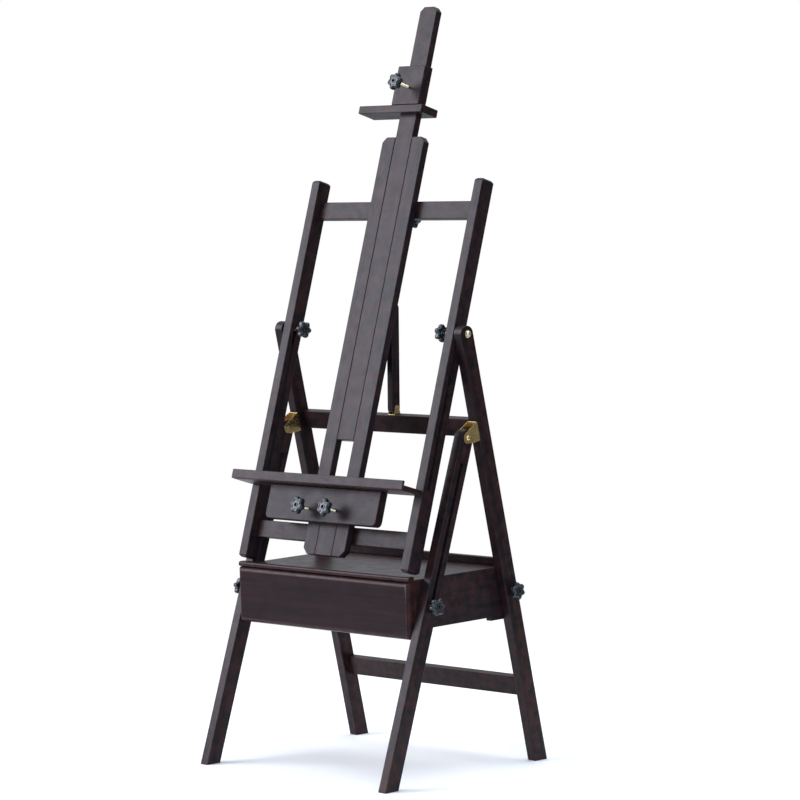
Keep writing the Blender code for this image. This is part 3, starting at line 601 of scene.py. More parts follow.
def grain_group():
    """Timber grain along z: streaks, pores, a broad change of tone, and a height."""
    group, given, made = group_sockets(
        "Timber grain",
        [("Vector", "Vector", None), ("Streak size", "Float", 0.011)],
        [("Streaks", "Float"), ("Pores", "Float"), ("Tone", "Float"), ("Height", "Float")],
    )
    vector = given.outputs["Vector"]
    frequency = sums(group, "DIVIDE", 1.0, given.outputs["Streak size"])
    streaky = group.nodes.new("ShaderNodeTexNoise")
    streaky.inputs["Detail"].default_value = 6.0
    streaky.inputs["Roughness"].default_value = 0.62
    streaky.inputs["Distortion"].default_value = 0.25
    group.links.new(scaled(group, vector, (1.0, 1.0, 0.045)), streaky.inputs["Vector"])
    group.links.new(frequency, streaky.inputs["Scale"])
    streaks = ranged(group, streaky.outputs["Fac"], 0.34, 0.68)
    dashes = noise(group, scaled(group, vector, (1.0, 1.0, 0.028)), 950.0, 2.0)
    pores = ranged(group, dashes, 0.60, 0.72)
    tone = ranged(group, noise(group, scaled(group, vector, (1.0, 1.0, 0.25)), 9.0, 2.0), 0.3, 0.7)
    ridges = sums(group, "MULTIPLY", streaks, 0.35)
    height = sums(group, "SUBTRACT", ridges, sums(group, "MULTIPLY", pores, 0.65))
    group.links.new(streaks, made.inputs["Streaks"])
    group.links.new(pores, made.inputs["Pores"])
    group.links.new(tone, made.inputs["Tone"])
    group.links.new(height, made.inputs["Height"])
    return group


def wear_and_highlight_group():
    """Convex edges, broken up by a patchy noise: where they have been rubbed, together with a painted
    highlight along them.
    """
    group, given, made = group_sockets(
        "Rubbed edges",
        [("Vector", "Vector", None), ("Patch size", "Float", 0.02)],
        [("Mask", "Float")],
    )
    shape = group.nodes.new("ShaderNodeNewGeometry")
    # Convex edges found by pointiness: the mask marks rubbed edges and also paints the highlight that they
    # catch
    ridge = ranged(group, shape.outputs["Pointiness"], 0.515, 0.60)
    patchy = group.nodes.new("ShaderNodeTexNoise")
    patchy.inputs["Detail"].default_value = 4.0
    frequency = sums(group, "DIVIDE", 1.0, given.outputs["Patch size"])
    group.links.new(frequency, patchy.inputs["Scale"])
    group.links.new(given.outputs["Vector"], patchy.inputs["Vector"])
    patches = ranged(group, patchy.outputs["Fac"], 0.35, 0.65)
    group.links.new(sums(group, "MULTIPLY", ridge, patches), made.inputs["Mask"])
    return group


def marks_group():
    """Handling marks: soft smudges and fine hairline scratches, for roughness and bump."""
    group, given, made = group_sockets(
        "Handling marks",
        [("Vector", "Vector", None)],
        [("Smudges", "Float"), ("Scratches", "Float")],
    )
    vector = given.outputs["Vector"]
    smudges = ranged(group, noise(group, vector, 28.0, 4.0, 0.6), 0.3, 0.7)
    hairs = noise(group, scaled(group, vector, (1.0, 0.05, 0.6)), 1500.0, 1.0, 0.5, 0.4)
    group.links.new(smudges, made.inputs["Smudges"])
    group.links.new(ranged(group, hairs, 0.66, 0.74), made.inputs["Scratches"])
    return group


GROUPS = {}


def effect(tree, name, builder, **sockets):
    """A node holding one of the shared effects, with its inputs set or linked."""
    if name not in GROUPS:
        GROUPS[name] = builder()
    node = tree.nodes.new("ShaderNodeGroup")
    node.node_tree = GROUPS[name]
    for label, value in sockets.items():
        socket = node.inputs[label.replace("_", " ")]
        if isinstance(value, bpy.types.NodeSocket):
            tree.links.new(value, socket)
        else:
            socket.default_value = value
    return node


def new_material(name):
    """A material with its node tree and Principled shader."""
    material = bpy.data.materials.new(name)
    material.use_nodes = True
    return material, material.node_tree, material.node_tree.nodes["Principled BSDF"]


def piece_vector(tree, turn, seed):
    """Object coordinates turned into a piece's own axes and shifted by its seed."""
    coords = tree.nodes.new("ShaderNodeTexCoord")
    mapping = tree.nodes.new("ShaderNodeMapping")
    mapping.inputs["Rotation"].default_value = turn
    mapping.inputs["Location"].default_value = (seed * 0.37 % 3.1, seed * 0.61 % 2.7, seed * 0.83 % 3.7)
    tree.links.new(coords.outputs["Object"], mapping.inputs["Vector"])
    return mapping.outputs["Vector"]


def seed_of(name):
    """A number that stays the same for a name."""
    return sum((i + 1) * ord(letter) for i, letter in enumerate(name)) % 97


def wood_finish(node, place, run):
    """Stained, lacquered timber for one piece: grain along run, rubbed edges lightened with a painted
    highlight, handling marks.
    """
    finish = bpy.context.scene.easel_finish
    # The third number sets how strongly the edges take the rubbed colour and the painted highlight
    kinds = {
        "walnut": (finish.stain_dark, finish.stain_light, 0.55),
        "drawer_wood": (finish.drawer_dark, finish.drawer_light, 0.85),
        "inside_wood": (finish.bare_dark, finish.bare_light, 0.15),
    }
    dark, light, wear_and_highlight_amount = kinds[SLOTS[node]]
    material, tree, shader = new_material(node + " finish")
    lean = PLACES[place].to_euler().x
    turn = {"z": (-lean, 0.0, 0.0), "x": (-lean, math.pi / 2, 0.0), "y": (math.pi / 2 - lean, 0.0, 0.0)}[run]
    seed = seed_of(node)
    vector = piece_vector(tree, turn, seed)
    grain = effect(tree, "grain", grain_group, Vector=vector, Streak_size=0.010 + 0.00005 * seed)
    edge_wear_and_highlight = effect(tree, "edge_wear_and_highlight", wear_and_highlight_group, Vector=vector)
    marks = effect(tree, "marks", marks_group, Vector=vector)
    shade = 0.92 + 0.16 * (seed % 7) / 6
    dark = [value * shade for value in dark]
    light = [value * shade for value in light]
    colour = blend_colours(tree, grain.outputs["Streaks"], dark, light)
    toned = blend_colours(tree, sums(tree, "MULTIPLY", grain.outputs["Tone"], 0.45), colour, dark)
    pored = blend_colours(
        tree, sums(tree, "MULTIPLY", grain.outputs["Pores"], 0.7), toned, [v * 0.35 for v in dark]
    )
    # Edges lightened towards the reddish edge colour: part rubbed stain, part a painted highlight where the
    # rounded edges catch the light
    worn_and_highlight = sums(tree, "MULTIPLY", edge_wear_and_highlight.outputs["Mask"], wear_and_highlight_amount)
    final = blend_colours(tree, worn_and_highlight, pored, finish.worn_and_highlight)
    tree.links.new(final, shader.inputs["Base Color"])
    satin = finish.gloss if SLOTS[node] != "inside_wood" else 0.62
    smudged = ranged(tree, marks.outputs["Smudges"], 0.0, 1.0, satin - 0.05, satin + 0.07)
    rough = sums(tree, "ADD", smudged, sums(tree, "MULTIPLY", grain.outputs["Pores"], 0.12))
    tree.links.new(rough, shader.inputs["Roughness"])
    shader.inputs["Coat Weight"].default_value = 0.0 if SLOTS[node] == "inside_wood" else 0.05
    shader.inputs["Coat Roughness"].default_value = 0.22
    shader.inputs["Specular IOR Level"].default_value = 0.15
    scratched = sums(tree, "MULTIPLY", marks.outputs["Scratches"], 0.25)
    height = sums(tree, "SUBTRACT", grain.outputs["Height"], scratched)
    bump = tree.nodes.new("ShaderNodeBump")
    bump.inputs["Strength"].default_value = 0.22
    bump.inputs["Distance"].default_value = 0.0004
    tree.links.new(height, bump.inputs["Height"])
    tree.links.new(bump.outputs["Normal"], shader.inputs["Normal"])
    return material


def metal_finish(name, colour, roughness):
    """Plated or polished metal with smudges, hairlines and darker tarnish."""
    if name in bpy.data.materials:
        return bpy.data.materials[name]
    material, tree, shader = new_material(name)
    vector = piece_vector(tree, ORIGIN, seed_of(name))
    marks = effect(tree, "marks", marks_group, Vector=vector)
    edge_wear_and_highlight = effect(tree, "edge_wear_and_highlight", wear_and_highlight_group, Vector=vector, Patch_size=0.006)
    tarnish = [value * 0.55 for value in colour]
    bright = [min(1.0, value * 1.12) for value in colour]
    spotted = ranged(tree, noise(tree, vector, 240.0, 5.0, 0.65), 0.45, 0.75, 0.0, 0.55)
    aged = blend_colours(tree, spotted, colour, tarnish)
    # Edges brightened by the shared edge mask: rubbed metal together with a painted highlight along the edges
    final = blend_colours(tree, sums(tree, "MULTIPLY", edge_wear_and_highlight.outputs["Mask"], 0.6), aged, bright)
    tree.links.new(final, shader.inputs["Base Color"])
    rough = ranged(tree, marks.outputs["Smudges"], 0.0, 1.0, roughness - 0.06, roughness + 0.12)
    rougher = sums(tree, "ADD", rough, sums(tree, "MULTIPLY", marks.outputs["Scratches"], 0.1))
    tree.links.new(rougher, shader.inputs["Roughness"])
    shader.inputs["Metallic"].default_value = 1.0
    bump = tree.nodes.new("ShaderNodeBump")
    bump.inputs["Strength"].default_value = 0.12
    bump.inputs["Distance"].default_value = 0.0002
    bump.invert = True
    tree.links.new(marks.outputs["Scratches"], bump.inputs["Height"])
    tree.links.new(bump.outputs["Normal"], shader.inputs["Normal"])
    return material


def plastic_finish():
    """Black moulded plastic: a faint pebbled skin, smudges and greyed edges."""
    name = "Knob plastic"
    if name in bpy.data.materials:
        return bpy.data.materials[name]
    finish = bpy.context.scene.easel_finish
    material, tree, shader = new_material(name)
    vector = piece_vector(tree, ORIGIN, 5)
    marks = effect(tree, "marks", marks_group, Vector=vector)
    edge_wear_and_highlight = effect(tree, "edge_wear_and_highlight", wear_and_highlight_group, Vector=vector, Patch_size=0.004)
    pebbles = noise(tree, vector, 1400.0, 2.0)
    greyed = [value * 3.0 + 0.01 for value in finish.plastic]
    # Edges greyed by the shared edge mask: scuffed plastic together with a painted highlight along the edges
    colour = blend_colours(tree, sums(tree, "MULTIPLY", edge_wear_and_highlight.outputs["Mask"], 0.5), finish.plastic, greyed)
    tree.links.new(colour, shader.inputs["Base Color"])
    tree.links.new(ranged(tree, marks.outputs["Smudges"], 0.0, 1.0, 0.20, 0.36), shader.inputs["Roughness"])
    bump = tree.nodes.new("ShaderNodeBump")
    bump.inputs["Strength"].default_value = 0.08
    bump.inputs["Distance"].default_value = 0.0002
    tree.links.new(pebbles, bump.inputs["Height"])
    tree.links.new(bump.outputs["Normal"], shader.inputs["Normal"])
    return material


def brass_finish():
    """Polished brass."""
    return metal_finish("Polished brass", tuple(bpy.context.scene.easel_finish.brass), 0.24)


def bolt_finish():
    """Yellow zinc on steel."""
    return metal_finish("Yellow zinc", tuple(bpy.context.scene.easel_finish.bolt), 0.30)


# Wooden pieces


def leg(node, place):
    """A leg: round at its pivot, cut level at its foot, edges rounded."""
    low, high = extents(node, place)
    piece = stadium(node, high.z, 0.0, low.z - high.z, 0.0, low.x, high.x, 64)
    floor = PLACES[place].inverted() @ Vector(ORIGIN)
    down = PLACES[place].inverted().to_3x3() @ Vector((0.0, 0.0, -1.0))
    select(piece, "FACE", lambda face: True)
    bpy.ops.mesh.bisect(plane_co=floor, plane_no=down, use_fill=True, clear_outer=True)
    start()
    soften(piece, bpy.context.scene.easel_sizes.timber_edge)
    return piece


def plain_board(node, place, edge=None):
    """A board of its frame node's size with rounded edges."""
    piece = block(node, *extents(node, place))
    soften(piece, bpy.context.scene.easel_sizes.timber_edge if edge is None else edge)
    return piece


def clip_corners(piece, radius, segments, chosen):
    """Cuts or rounds the corners whose edges satisfy chosen(edge)."""
    select(piece, "EDGE", chosen)
    bpy.ops.mesh.bevel(offset=radius, segments=segments, profile=0.5, affect="EDGES", clamp_overlap=False)
    start()


def along(edge, axis):
    """True where an edge runs along the given axis."""
    index = "xyz".index(axis)
    gap = edge.verts[1].co - edge.verts[0].co
    return abs(gap[index]) > 0.999 * gap.length


class EASEL_OT_rear_legs(bpy.types.Operator):
    """Rear legs with their pivot and case bolt holes"""

    bl_idname = "easel.rear_legs"
    bl_label = "Rear legs"

    def execute(self, context):
        sizes = context.scene.easel_sizes
        for _, word in SIDES:
            node = "rear_leg_" + word
            piece = leg(node, "rear")
            cut_round(piece, sizes.apex_bore, "x")
            cut_round(piece, sizes.bore, "x", middle(f"case_rear_{word}_bolt", "rear"))
            put_wood(piece, "rear", node, "z")
        return {"FINISHED"}


class EASEL_OT_front_legs(bpy.types.Operator):
    """Front legs with their pin holes and long slots"""

    bl_idname = "easel.front_legs"
    bl_label = "Front legs"

    def execute(self, context):
        for _, word in SIDES:
            node = "front_leg_" + word
            piece = leg(node, "front")
            low, high = extents(node, "front")
            cut_round(piece, context.scene.easel_sizes.bore, "x")
            half = (high.y - low.y) / 2
            wall = [p for p in local_corners(node, "front") if abs(p.y) < half / 2]
            cut_slot(piece, [p for p in wall if low.z + 2 * half < p.z < -half])
            put_wood(piece, "front", node, "z")
        return {"FINISHED"}


class EASEL_OT_rear_crossbars(bpy.types.Operator):
    """Two crossbars between the rear legs"""

    bl_idname = "easel.rear_crossbars"
    bl_label = "Rear crossbars"

    def execute(self, context):
        for node in ("rear_crossbar_upper", "rear_crossbar_lower"):
            put_wood(plain_board(node, "rear"), "rear", node, "x")
        return {"FINISHED"}


class EASEL_OT_stiles(bpy.types.Operator):
    """Slotted stiles with chamfered ends"""

    bl_idname = "easel.stiles"
    bl_label = "Stiles"

    def execute(self, context):
        sizes = context.scene.easel_sizes
        side_margin = 0.006
        end_margin = 0.02
        for _, word in SIDES:
            node = "stile_" + word
            low, high = extents(node, "frame")
            piece = block(node, low, high)
            clip_corners(piece, sizes.stile_clip, 1, lambda edge: not along(edge, "z"))
            soften(piece, sizes.timber_edge, least=30.0)
            wall = [
                p
                for p in local_corners(node, "frame")
                if low.y + side_margin < p.y < high.y - side_margin
                and low.z + end_margin < p.z < high.z - end_margin
            ]
            cut_slot(piece, wall)
            put_wood(piece, "frame", node, "z")
        return {"FINISHED"}


class EASEL_OT_frame_crossbars(bpy.types.Operator):
    """Top and bottom crossbars of the easel frame"""

    bl_idname = "easel.frame_crossbars"
    bl_label = "Frame crossbars"

    def execute(self, context):
        sizes = context.scene.easel_sizes
        for node in ("frame_crossbar_top", "frame_crossbar_bottom"):
            piece = plain_board(node, "frame")
            if node.endswith("top"):
                cut_round(piece, sizes.bore, "y", middle("post_lock_bolt", "frame"))
            put_wood(piece, "frame", node, "x")
        return {"FINISHED"}


class EASEL_OT_mast(bpy.types.Operator):
    """The mast: two rails with clipped outer corners and the block between their feet"""

    bl_idname = "easel.mast"
    bl_label = "Mast"

    def execute(self, context):
        sizes = context.scene.easel_sizes
        for side, word in SIDES:
            node = "mast_rail_" + word
            low, high = extents(node, "frame")
            outer = high.x if side > 0 else low.x
            piece = block(node, low, high)
            for end, size in ((low.z, sizes.foot_clip), (high.z, sizes.head_clip)):

                def outer_corner(edge):
                    spot = middle_of(edge)
                    return along(edge, "y") and abs(spot.x - outer) < HAIR and abs(spot.z - end) < HAIR

                clip_corners(piece, size, 1, outer_corner)
            soften(piece, sizes.timber_edge, least=30.0)
            put_wood(piece, "frame", node, "z")
        put_wood(plain_board("mast_foot_block", "frame"), "frame", "mast_foot_block", "z")
        return {"FINISHED"}


class EASEL_OT_strut_guide(bpy.types.Operator):
    """The guide behind the mast: a board with a slotted fin"""

    bl_idname = "easel.strut_guide"
    bl_label = "Strut guide"

    def execute(self, context):
        node = "strut_guide_rail"
        points = local_corners(node, "frame")
        low, high = extents(node, "frame")
        margin = 0.004
        sunk = 0.002
        board_back = max(p.y for p in points if abs(p.x - high.x) < HAIR)
        fin = max(p.x for p in points if p.y > board_back + sunk / 2)
        piece = block(node, low, (high.x, board_back, high.z))
        blade = block("fin", (-fin, low.y + sunk, low.z), (fin, high.y, high.z))
        combine(piece, blade, "UNION")
        soften(piece, context.scene.easel_sizes.timber_edge * 0.7, 2)
        wall = [p for p in points if board_back + margin < p.y < high.y - margin]
        wall = [p for p in wall if low.z + margin < p.z < high.z - margin]
        cut_slot(piece, wall, False, (-fin - OVERCUT, fin + OVERCUT))
        put_wood(piece, "frame", node, "z")
        return {"FINISHED"}


class EASEL_OT_post(bpy.types.Operator):
    """The sliding post, clipped at its top corners"""

    bl_idname = "easel.post"
    bl_label = "Centre post"

    def execute(self, context):
        node = "centre_post"
        low, high = extents(node, "frame")
        piece = block(node, low, high)
        sizes = context.scene.easel_sizes

        def head(edge):
            return along(edge, "y") and abs(middle_of(edge).z - high.z) < HAIR

        clip_corners(piece, sizes.post_clip, 1, head)
        soften(piece, sizes.timber_edge, least=30.0)
        put_wood(piece, "frame", node, "z")
        return {"FINISHED"}


class EASEL_OT_clamp(bpy.types.Operator):
    """The canvas clamp: a channelled block on the post and the plate under it"""

    bl_idname = "easel.clamp"
    bl_label = "Canvas clamp"

    def execute(self, context):
        sizes = context.scene.easel_sizes
        post_low, post_high = extents("centre_post", "frame")
        slack = sizes.post_slack
        low, high = extents("clamp_block", "frame")
        piece = block("clamp_block", low, high)
        channel = block(
            "channel",
            (post_low.x - slack, post_low.y - slack, low.z - OVERCUT),
            (post_high.x + slack, high.y + OVERCUT, high.z + OVERCUT),
        )
        combine(piece, channel, "DIFFERENCE")

        def outer_edge(edge):
            spot = middle_of(edge)
            return abs(spot.x) > post_high.x + 0.002 or spot.y < low.y + 0.001

        soften(piece, sizes.timber_edge, 3, outer_edge)
        cut_round(piece, sizes.bore, "y", middle("clamp_bolt", "frame"))
        put_wood(piece, "frame", "clamp_block", "z")
        low, high = extents("clamp_plate", "frame")
        piece = plain_board("clamp_plate", "frame")
        window = block(
            "window",
            (post_low.x - slack, post_low.y - slack, low.z - OVERCUT),
            (post_high.x + slack, post_high.y + slack, high.z + OVERCUT),
        )
        combine(piece, window, "DIFFERENCE")
        put_wood(piece, "frame", "clamp_plate", "x")
        return {"FINISHED"}


class EASEL_OT_tray(bpy.types.Operator):
    """The canvas tray: shelf, lip, apron and the runner on the mast"""

    bl_idname = "easel.tray"
    bl_label = "Canvas tray"

    def execute(self, context):
        sizes = context.scene.easel_sizes
        for node in ("tray_shelf", "tray_lip"):
            edge = sizes.timber_edge if node == "tray_shelf" else sizes.timber_edge * 1.25
            put_wood(plain_board(node, "frame", edge), "frame", node, "x")
        for node in ("tray_apron", "tray_runner"):
            low, high = extents(node, "frame")
            piece = block(node, low, high)
            if node == "tray_apron":
                clip_corners(
                    piece,
                    sizes.apron_corner,
                    8,
                    lambda edge: along(edge, "y") and middle_of(edge).z < low.z + HAIR,
                )
            soften(piece, sizes.timber_edge)
            for _, word in SIDES:
                cut_round(piece, sizes.bore, "y", middle(f"tray_{word}_bolt", "frame"))
            put_wood(piece, "frame", node, "x")
        return {"FINISHED"}


class EASEL_OT_strut(bpy.types.Operator):
    """The back strut and its brass ear bracket"""

    bl_idname = "easel.strut"
    bl_label = "Back strut"

    def execute(self, context):
        sizes = context.scene.easel_sizes
        node = "back_strut"
        low, high = extents(node, "strut")
        half = (high.y - low.y) / 2
        piece = stadium(node, half, 0.0, 0.0, high.z - half, low.x, high.x, 48)
        soften(piece, sizes.timber_edge)
        cut_round(piece, sizes.bore, "x")
        put_wood(piece, "strut", node, "z")
        bracket = merged_copy("strut_bracket")
        soften(bracket, sizes.brass_edge, 2)
        put(bracket, Matrix.Identity(4), "strut_bracket-brass", brass_finish(), "strut_bracket")
        return {"FINISHED"}


# A rivet head's radii and heights from its rim to its crown, and how deep it sits in the brass
DOME = (
    (0.0046, -0.0008),
    (0.0050, 0.0),
    (0.0046, 0.0009),
    (0.0034, 0.0017),
    (0.0016, 0.0021),
    (0.0003, 0.0022),
)
DOME_SUNK = 0.0002


class EASEL_OT_hinge_brackets(bpy.types.Operator):
    """Brass clevis brackets with domed rivets"""

    bl_idname = "easel.hinge_brackets"
    bl_label = "Hinge brackets"

    def execute(self, context):
        for side, word in SIDES:
            node = "hinge_bracket_" + word
            piece = merged_copy(node)
            soften(piece, context.scene.easel_sizes.brass_edge, 2)
            low, high = extents(node, "front")
            outer = high.x if side > 0 else low.x
            dome = turned_piece("dome", DOME, 24)
            activate(dome)
            dome.matrix_world = (
                PLACES["front"]
                @ Matrix.Translation((outer - side * DOME_SUNK, 0.0, 0.0))
                @ Matrix.Rotation(side * math.pi / 2, 4, "Y")
            )
            bpy.ops.object.transform_apply(location=True, rotation=True, scale=True)
            combine(piece, dome, "UNION")
            put(piece, Matrix.Identity(4), node + "-brass", brass_finish(), node)
        return {"FINISHED"}


class EASEL_OT_case(bpy.types.Operator):
    """The drawer case: sides with their cleats, top, back, bottom, back rail and front moulding"""

    bl_idname = "easel.case"
    bl_label = "Drawer case"

    def execute(self, context):
        sizes = context.scene.easel_sizes
        bottom_low = extents("case_bottom", "case")[0]
        for _, word in SIDES:
            node = "case_side_" + word
            low, high = extents(node, "case")
            cleat = min(p.y for p in local_corners(node, "case") if p.z < low.z + HAIR)
            piece = block(node, low, high)
            notch = block(
                "notch",
                (low.x - OVERCUT, low.y - OVERCUT, low.z - OVERCUT),
                (high.x + OVERCUT, cleat, bottom_low.z),
            )
            combine(piece, notch, "DIFFERENCE")
            soften(piece, sizes.board_edge)
            cut_round(piece, sizes.bore, "x", middle(f"case_rear_{word}_bolt", "case"))
            put_wood(piece, "case", node, "y")
        for node in ("case_top", "case_back", "case_bottom"):
            put_wood(plain_board(node, "case", sizes.board_edge), "case", node, "x")
        put_wood(plain_board("case_back_rail", "case"), "case", "case_back_rail", "x")
        node = "case_moulding"
        low, high = extents(node, "case")
        piece = block(node, low, high)
        round_size = (high.z - low.z) * 0.49
        clip_corners(
            piece, round_size, 10, lambda edge: along(edge, "x") and middle_of(edge).y < low.y + HAIR
        )
        soften(piece, sizes.board_edge)
        put_wood(piece, "case", node, "x")
        return {"FINISHED"}


class EASEL_OT_drawer(bpy.types.Operator):
    """The drawer: a thick front with a rounded face, sides, back and floor"""

    bl_idname = "easel.drawer"
    bl_label = "Drawer"

    def execute(self, context):
        sizes = context.scene.easel_sizes
        node = "drawer_front"
        low, high = extents(node, "case")
        piece = block(node, low, high)
        clip_corners(piece, sizes.drawer_round, 8, lambda edge: middle_of(edge).y < low.y + HAIR)
        soften(piece, sizes.board_edge)
        put_wood(piece, "case", node, "x")
        for node, run in (
            ("drawer_side_right", "y"),
            ("drawer_side_left", "y"),
            ("drawer_back", "x"),
            ("drawer_floor", "x"),
        ):
            put_wood(plain_board(node, "case", sizes.board_edge), "case", node, run)
        return {"FINISHED"}


# Fittings


def knob_joint(node):
    """The joint line of a knob: a point on it and its outward direction."""
    for joint in frame["joints"]:
        body = frame["nodes"][node]["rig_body"]
        if joint["child"] == body and "turn" in joint["name"]:
            return Vector(joint["pos_m"]), Vector(joint["axis"]).normalized()
    raise RuntimeError(node + " turns on no joint")


def flute(piece):
    """Draws the valleys between a knob's lobes in towards its axis."""
    sizes = bpy.context.scene.easel_sizes
    lobes = sizes.knob_lobes
    count = len(piece.data.vertices)
    per_lobe = count // lobes
    for step in range(1, per_lobe // 2 + 1):
        wave = 0.5 - 0.5 * math.cos(2 * math.pi * step / per_lobe)
        size = 1.0 - sizes.knob_valley * wave**1.1

        def in_flute(vertex):
            turn = round(math.atan2(vertex.co.x, vertex.co.y) / (2 * math.pi) * count) % per_lobe
            return turn in (step, per_lobe - step)

        select(piece, "VERT", in_flute)
        bpy.ops.transform.resize(value=(size, size, 1.0), center_override=ORIGIN)
    start()


def knob_shape(radius, thick, hub_radius, hub_length):
    """A lobed hand knob along z with its face at z = 0: fluted rim, dished face with a socket, and a hub."""
    profile = (
        (0.82, 1.00),
        (0.90, 0.97),
        (0.96, 0.89),
        (0.99, 0.78),
        (1.00, 0.62),
        (1.00, 0.46),
        (0.985, 0.30),
        (0.95, 0.17),
        (0.89, 0.07),
        (0.81, 0.015),
        (0.74, 0.0),
        (0.66, 0.012),
        (0.61, 0.05),
        (0.57, 0.085),
    )
    stations = [(radius * share, -thick * drop) for share, drop in profile]
    piece = turned_piece("knob", stations, 96, flute)
    bore = bpy.context.scene.easel_sizes.bore
    hub = turned_piece(
        "hub",
        [
            (hub_radius * 0.93, -thick - hub_length),
            (hub_radius, -thick - hub_length + 0.0006),
            (hub_radius, -thick - 0.0012),
            (hub_radius * 1.12, -thick - 0.0003),
            (hub_radius * 1.15, -thick + 0.003),
        ],
        48,
    )
    combine(piece, hub, "UNION")
    collar = turned_piece(
        "collar", [(bore * 1.75, -thick * 0.4), (bore * 1.75, -0.0003), (bore * 1.6, 0.0)], 48
    )
    combine(piece, collar, "UNION")
    socket = turned_piece(
        "socket",
        [(bore * 1.12, -thick * 0.7), (bore * 1.12, -0.0006), (bore * 1.3, 0.0005), (bore * 1.3, 0.01)],
        32,
    )
    combine(piece, socket, "DIFFERENCE")
    hole = rod("bore", "z", ORIGIN, bore, -thick - hub_length - OVERCUT, -thick * 0.6)
    combine(piece, hole, "DIFFERENCE")
    return piece


KNOBS = (
    "apex_knob_right",
    "apex_knob_left",
    "case_front_right_knob",
    "case_front_left_knob",
    "case_rear_right_knob",
    "case_rear_left_knob",
    "clamp_knob",
    "tray_right_knob",
    "tray_left_knob",
    "post_lock_knob",
    "strut_knob",
)


class EASEL_OT_knobs(bpy.types.Operator):
    """Eleven lobed hand knobs, modelled once and copied"""

    bl_idname = "easel.knobs"
    bl_label = "Knobs"

    def execute(self, context):
        sizes = context.scene.easel_sizes
        first = None
        for number, node in enumerate(KNOBS):
            point, outward = knob_joint(node)
            away = [corner - point for corner in corners(node)]
            reach = [gap.dot(outward) for gap in away]
            if first is None:
                wide = max((gap - outward * gap.dot(outward)).length for gap in away)
                hub_length = max(reach) - min(reach) - sizes.knob_thick
                first = knob_shape(wide, sizes.knob_thick, sizes.knob_hub, hub_length)
            knob = copy_of(first)
            turn = outward.to_track_quat("Z", "Y").to_matrix().to_4x4()
            spin = Matrix.Rotation(math.radians(17.0 * number % 60.0), 4, "Z")
            place = Matrix.Translation(point + outward * max(reach)) @ turn @ spin
            put(knob, place, node + "-plastic", plastic_finish(), node)
        bpy.data.objects.remove(first, do_unlink=True)
        return {"FINISHED"}


# Each knob's bolt: its assembly, its axis, and the way it points
PLAIN_BOLTS = (
    ("case_front_right_bolt", "front", "x", 1),
    ("case_front_left_bolt", "front", "x", -1),
    ("case_rear_right_bolt", "case", "x", 1),
    ("case_rear_left_bolt", "case", "x", -1),
    ("clamp_bolt", "frame", "y", -1),
    ("tray_right_bolt", "frame", "y", -1),
    ("tray_left_bolt", "frame", "y", -1),
    ("post_lock_bolt", "frame", "y", 1),
    ("strut_bolt", "frame", "x", -1),
)


def thread_stations(radius, length, pitch):
    """Crests and roots of a thread, as rings of a turned piece."""
    stations = [(radius * 0.80, 0.0)]
    count = int(length / pitch)
    for i in range(count):
        stations.append((radius, (i + 0.30) * pitch))
        stations.append((radius, (i + 0.45) * pitch))
        stations.append((radius * 0.86, (i + 0.95) * pitch))
    stations.append((radius * 0.80, count * pitch))
    return stations


def outward_turn(axis, sign):
    """Turns z to a direction along the x or y axis."""
    direction = Vector((sign, 0.0, 0.0)) if axis == "x" else Vector((0.0, sign, 0.0))
    return direction.to_track_quat("Z", "Y").to_matrix().to_4x4()


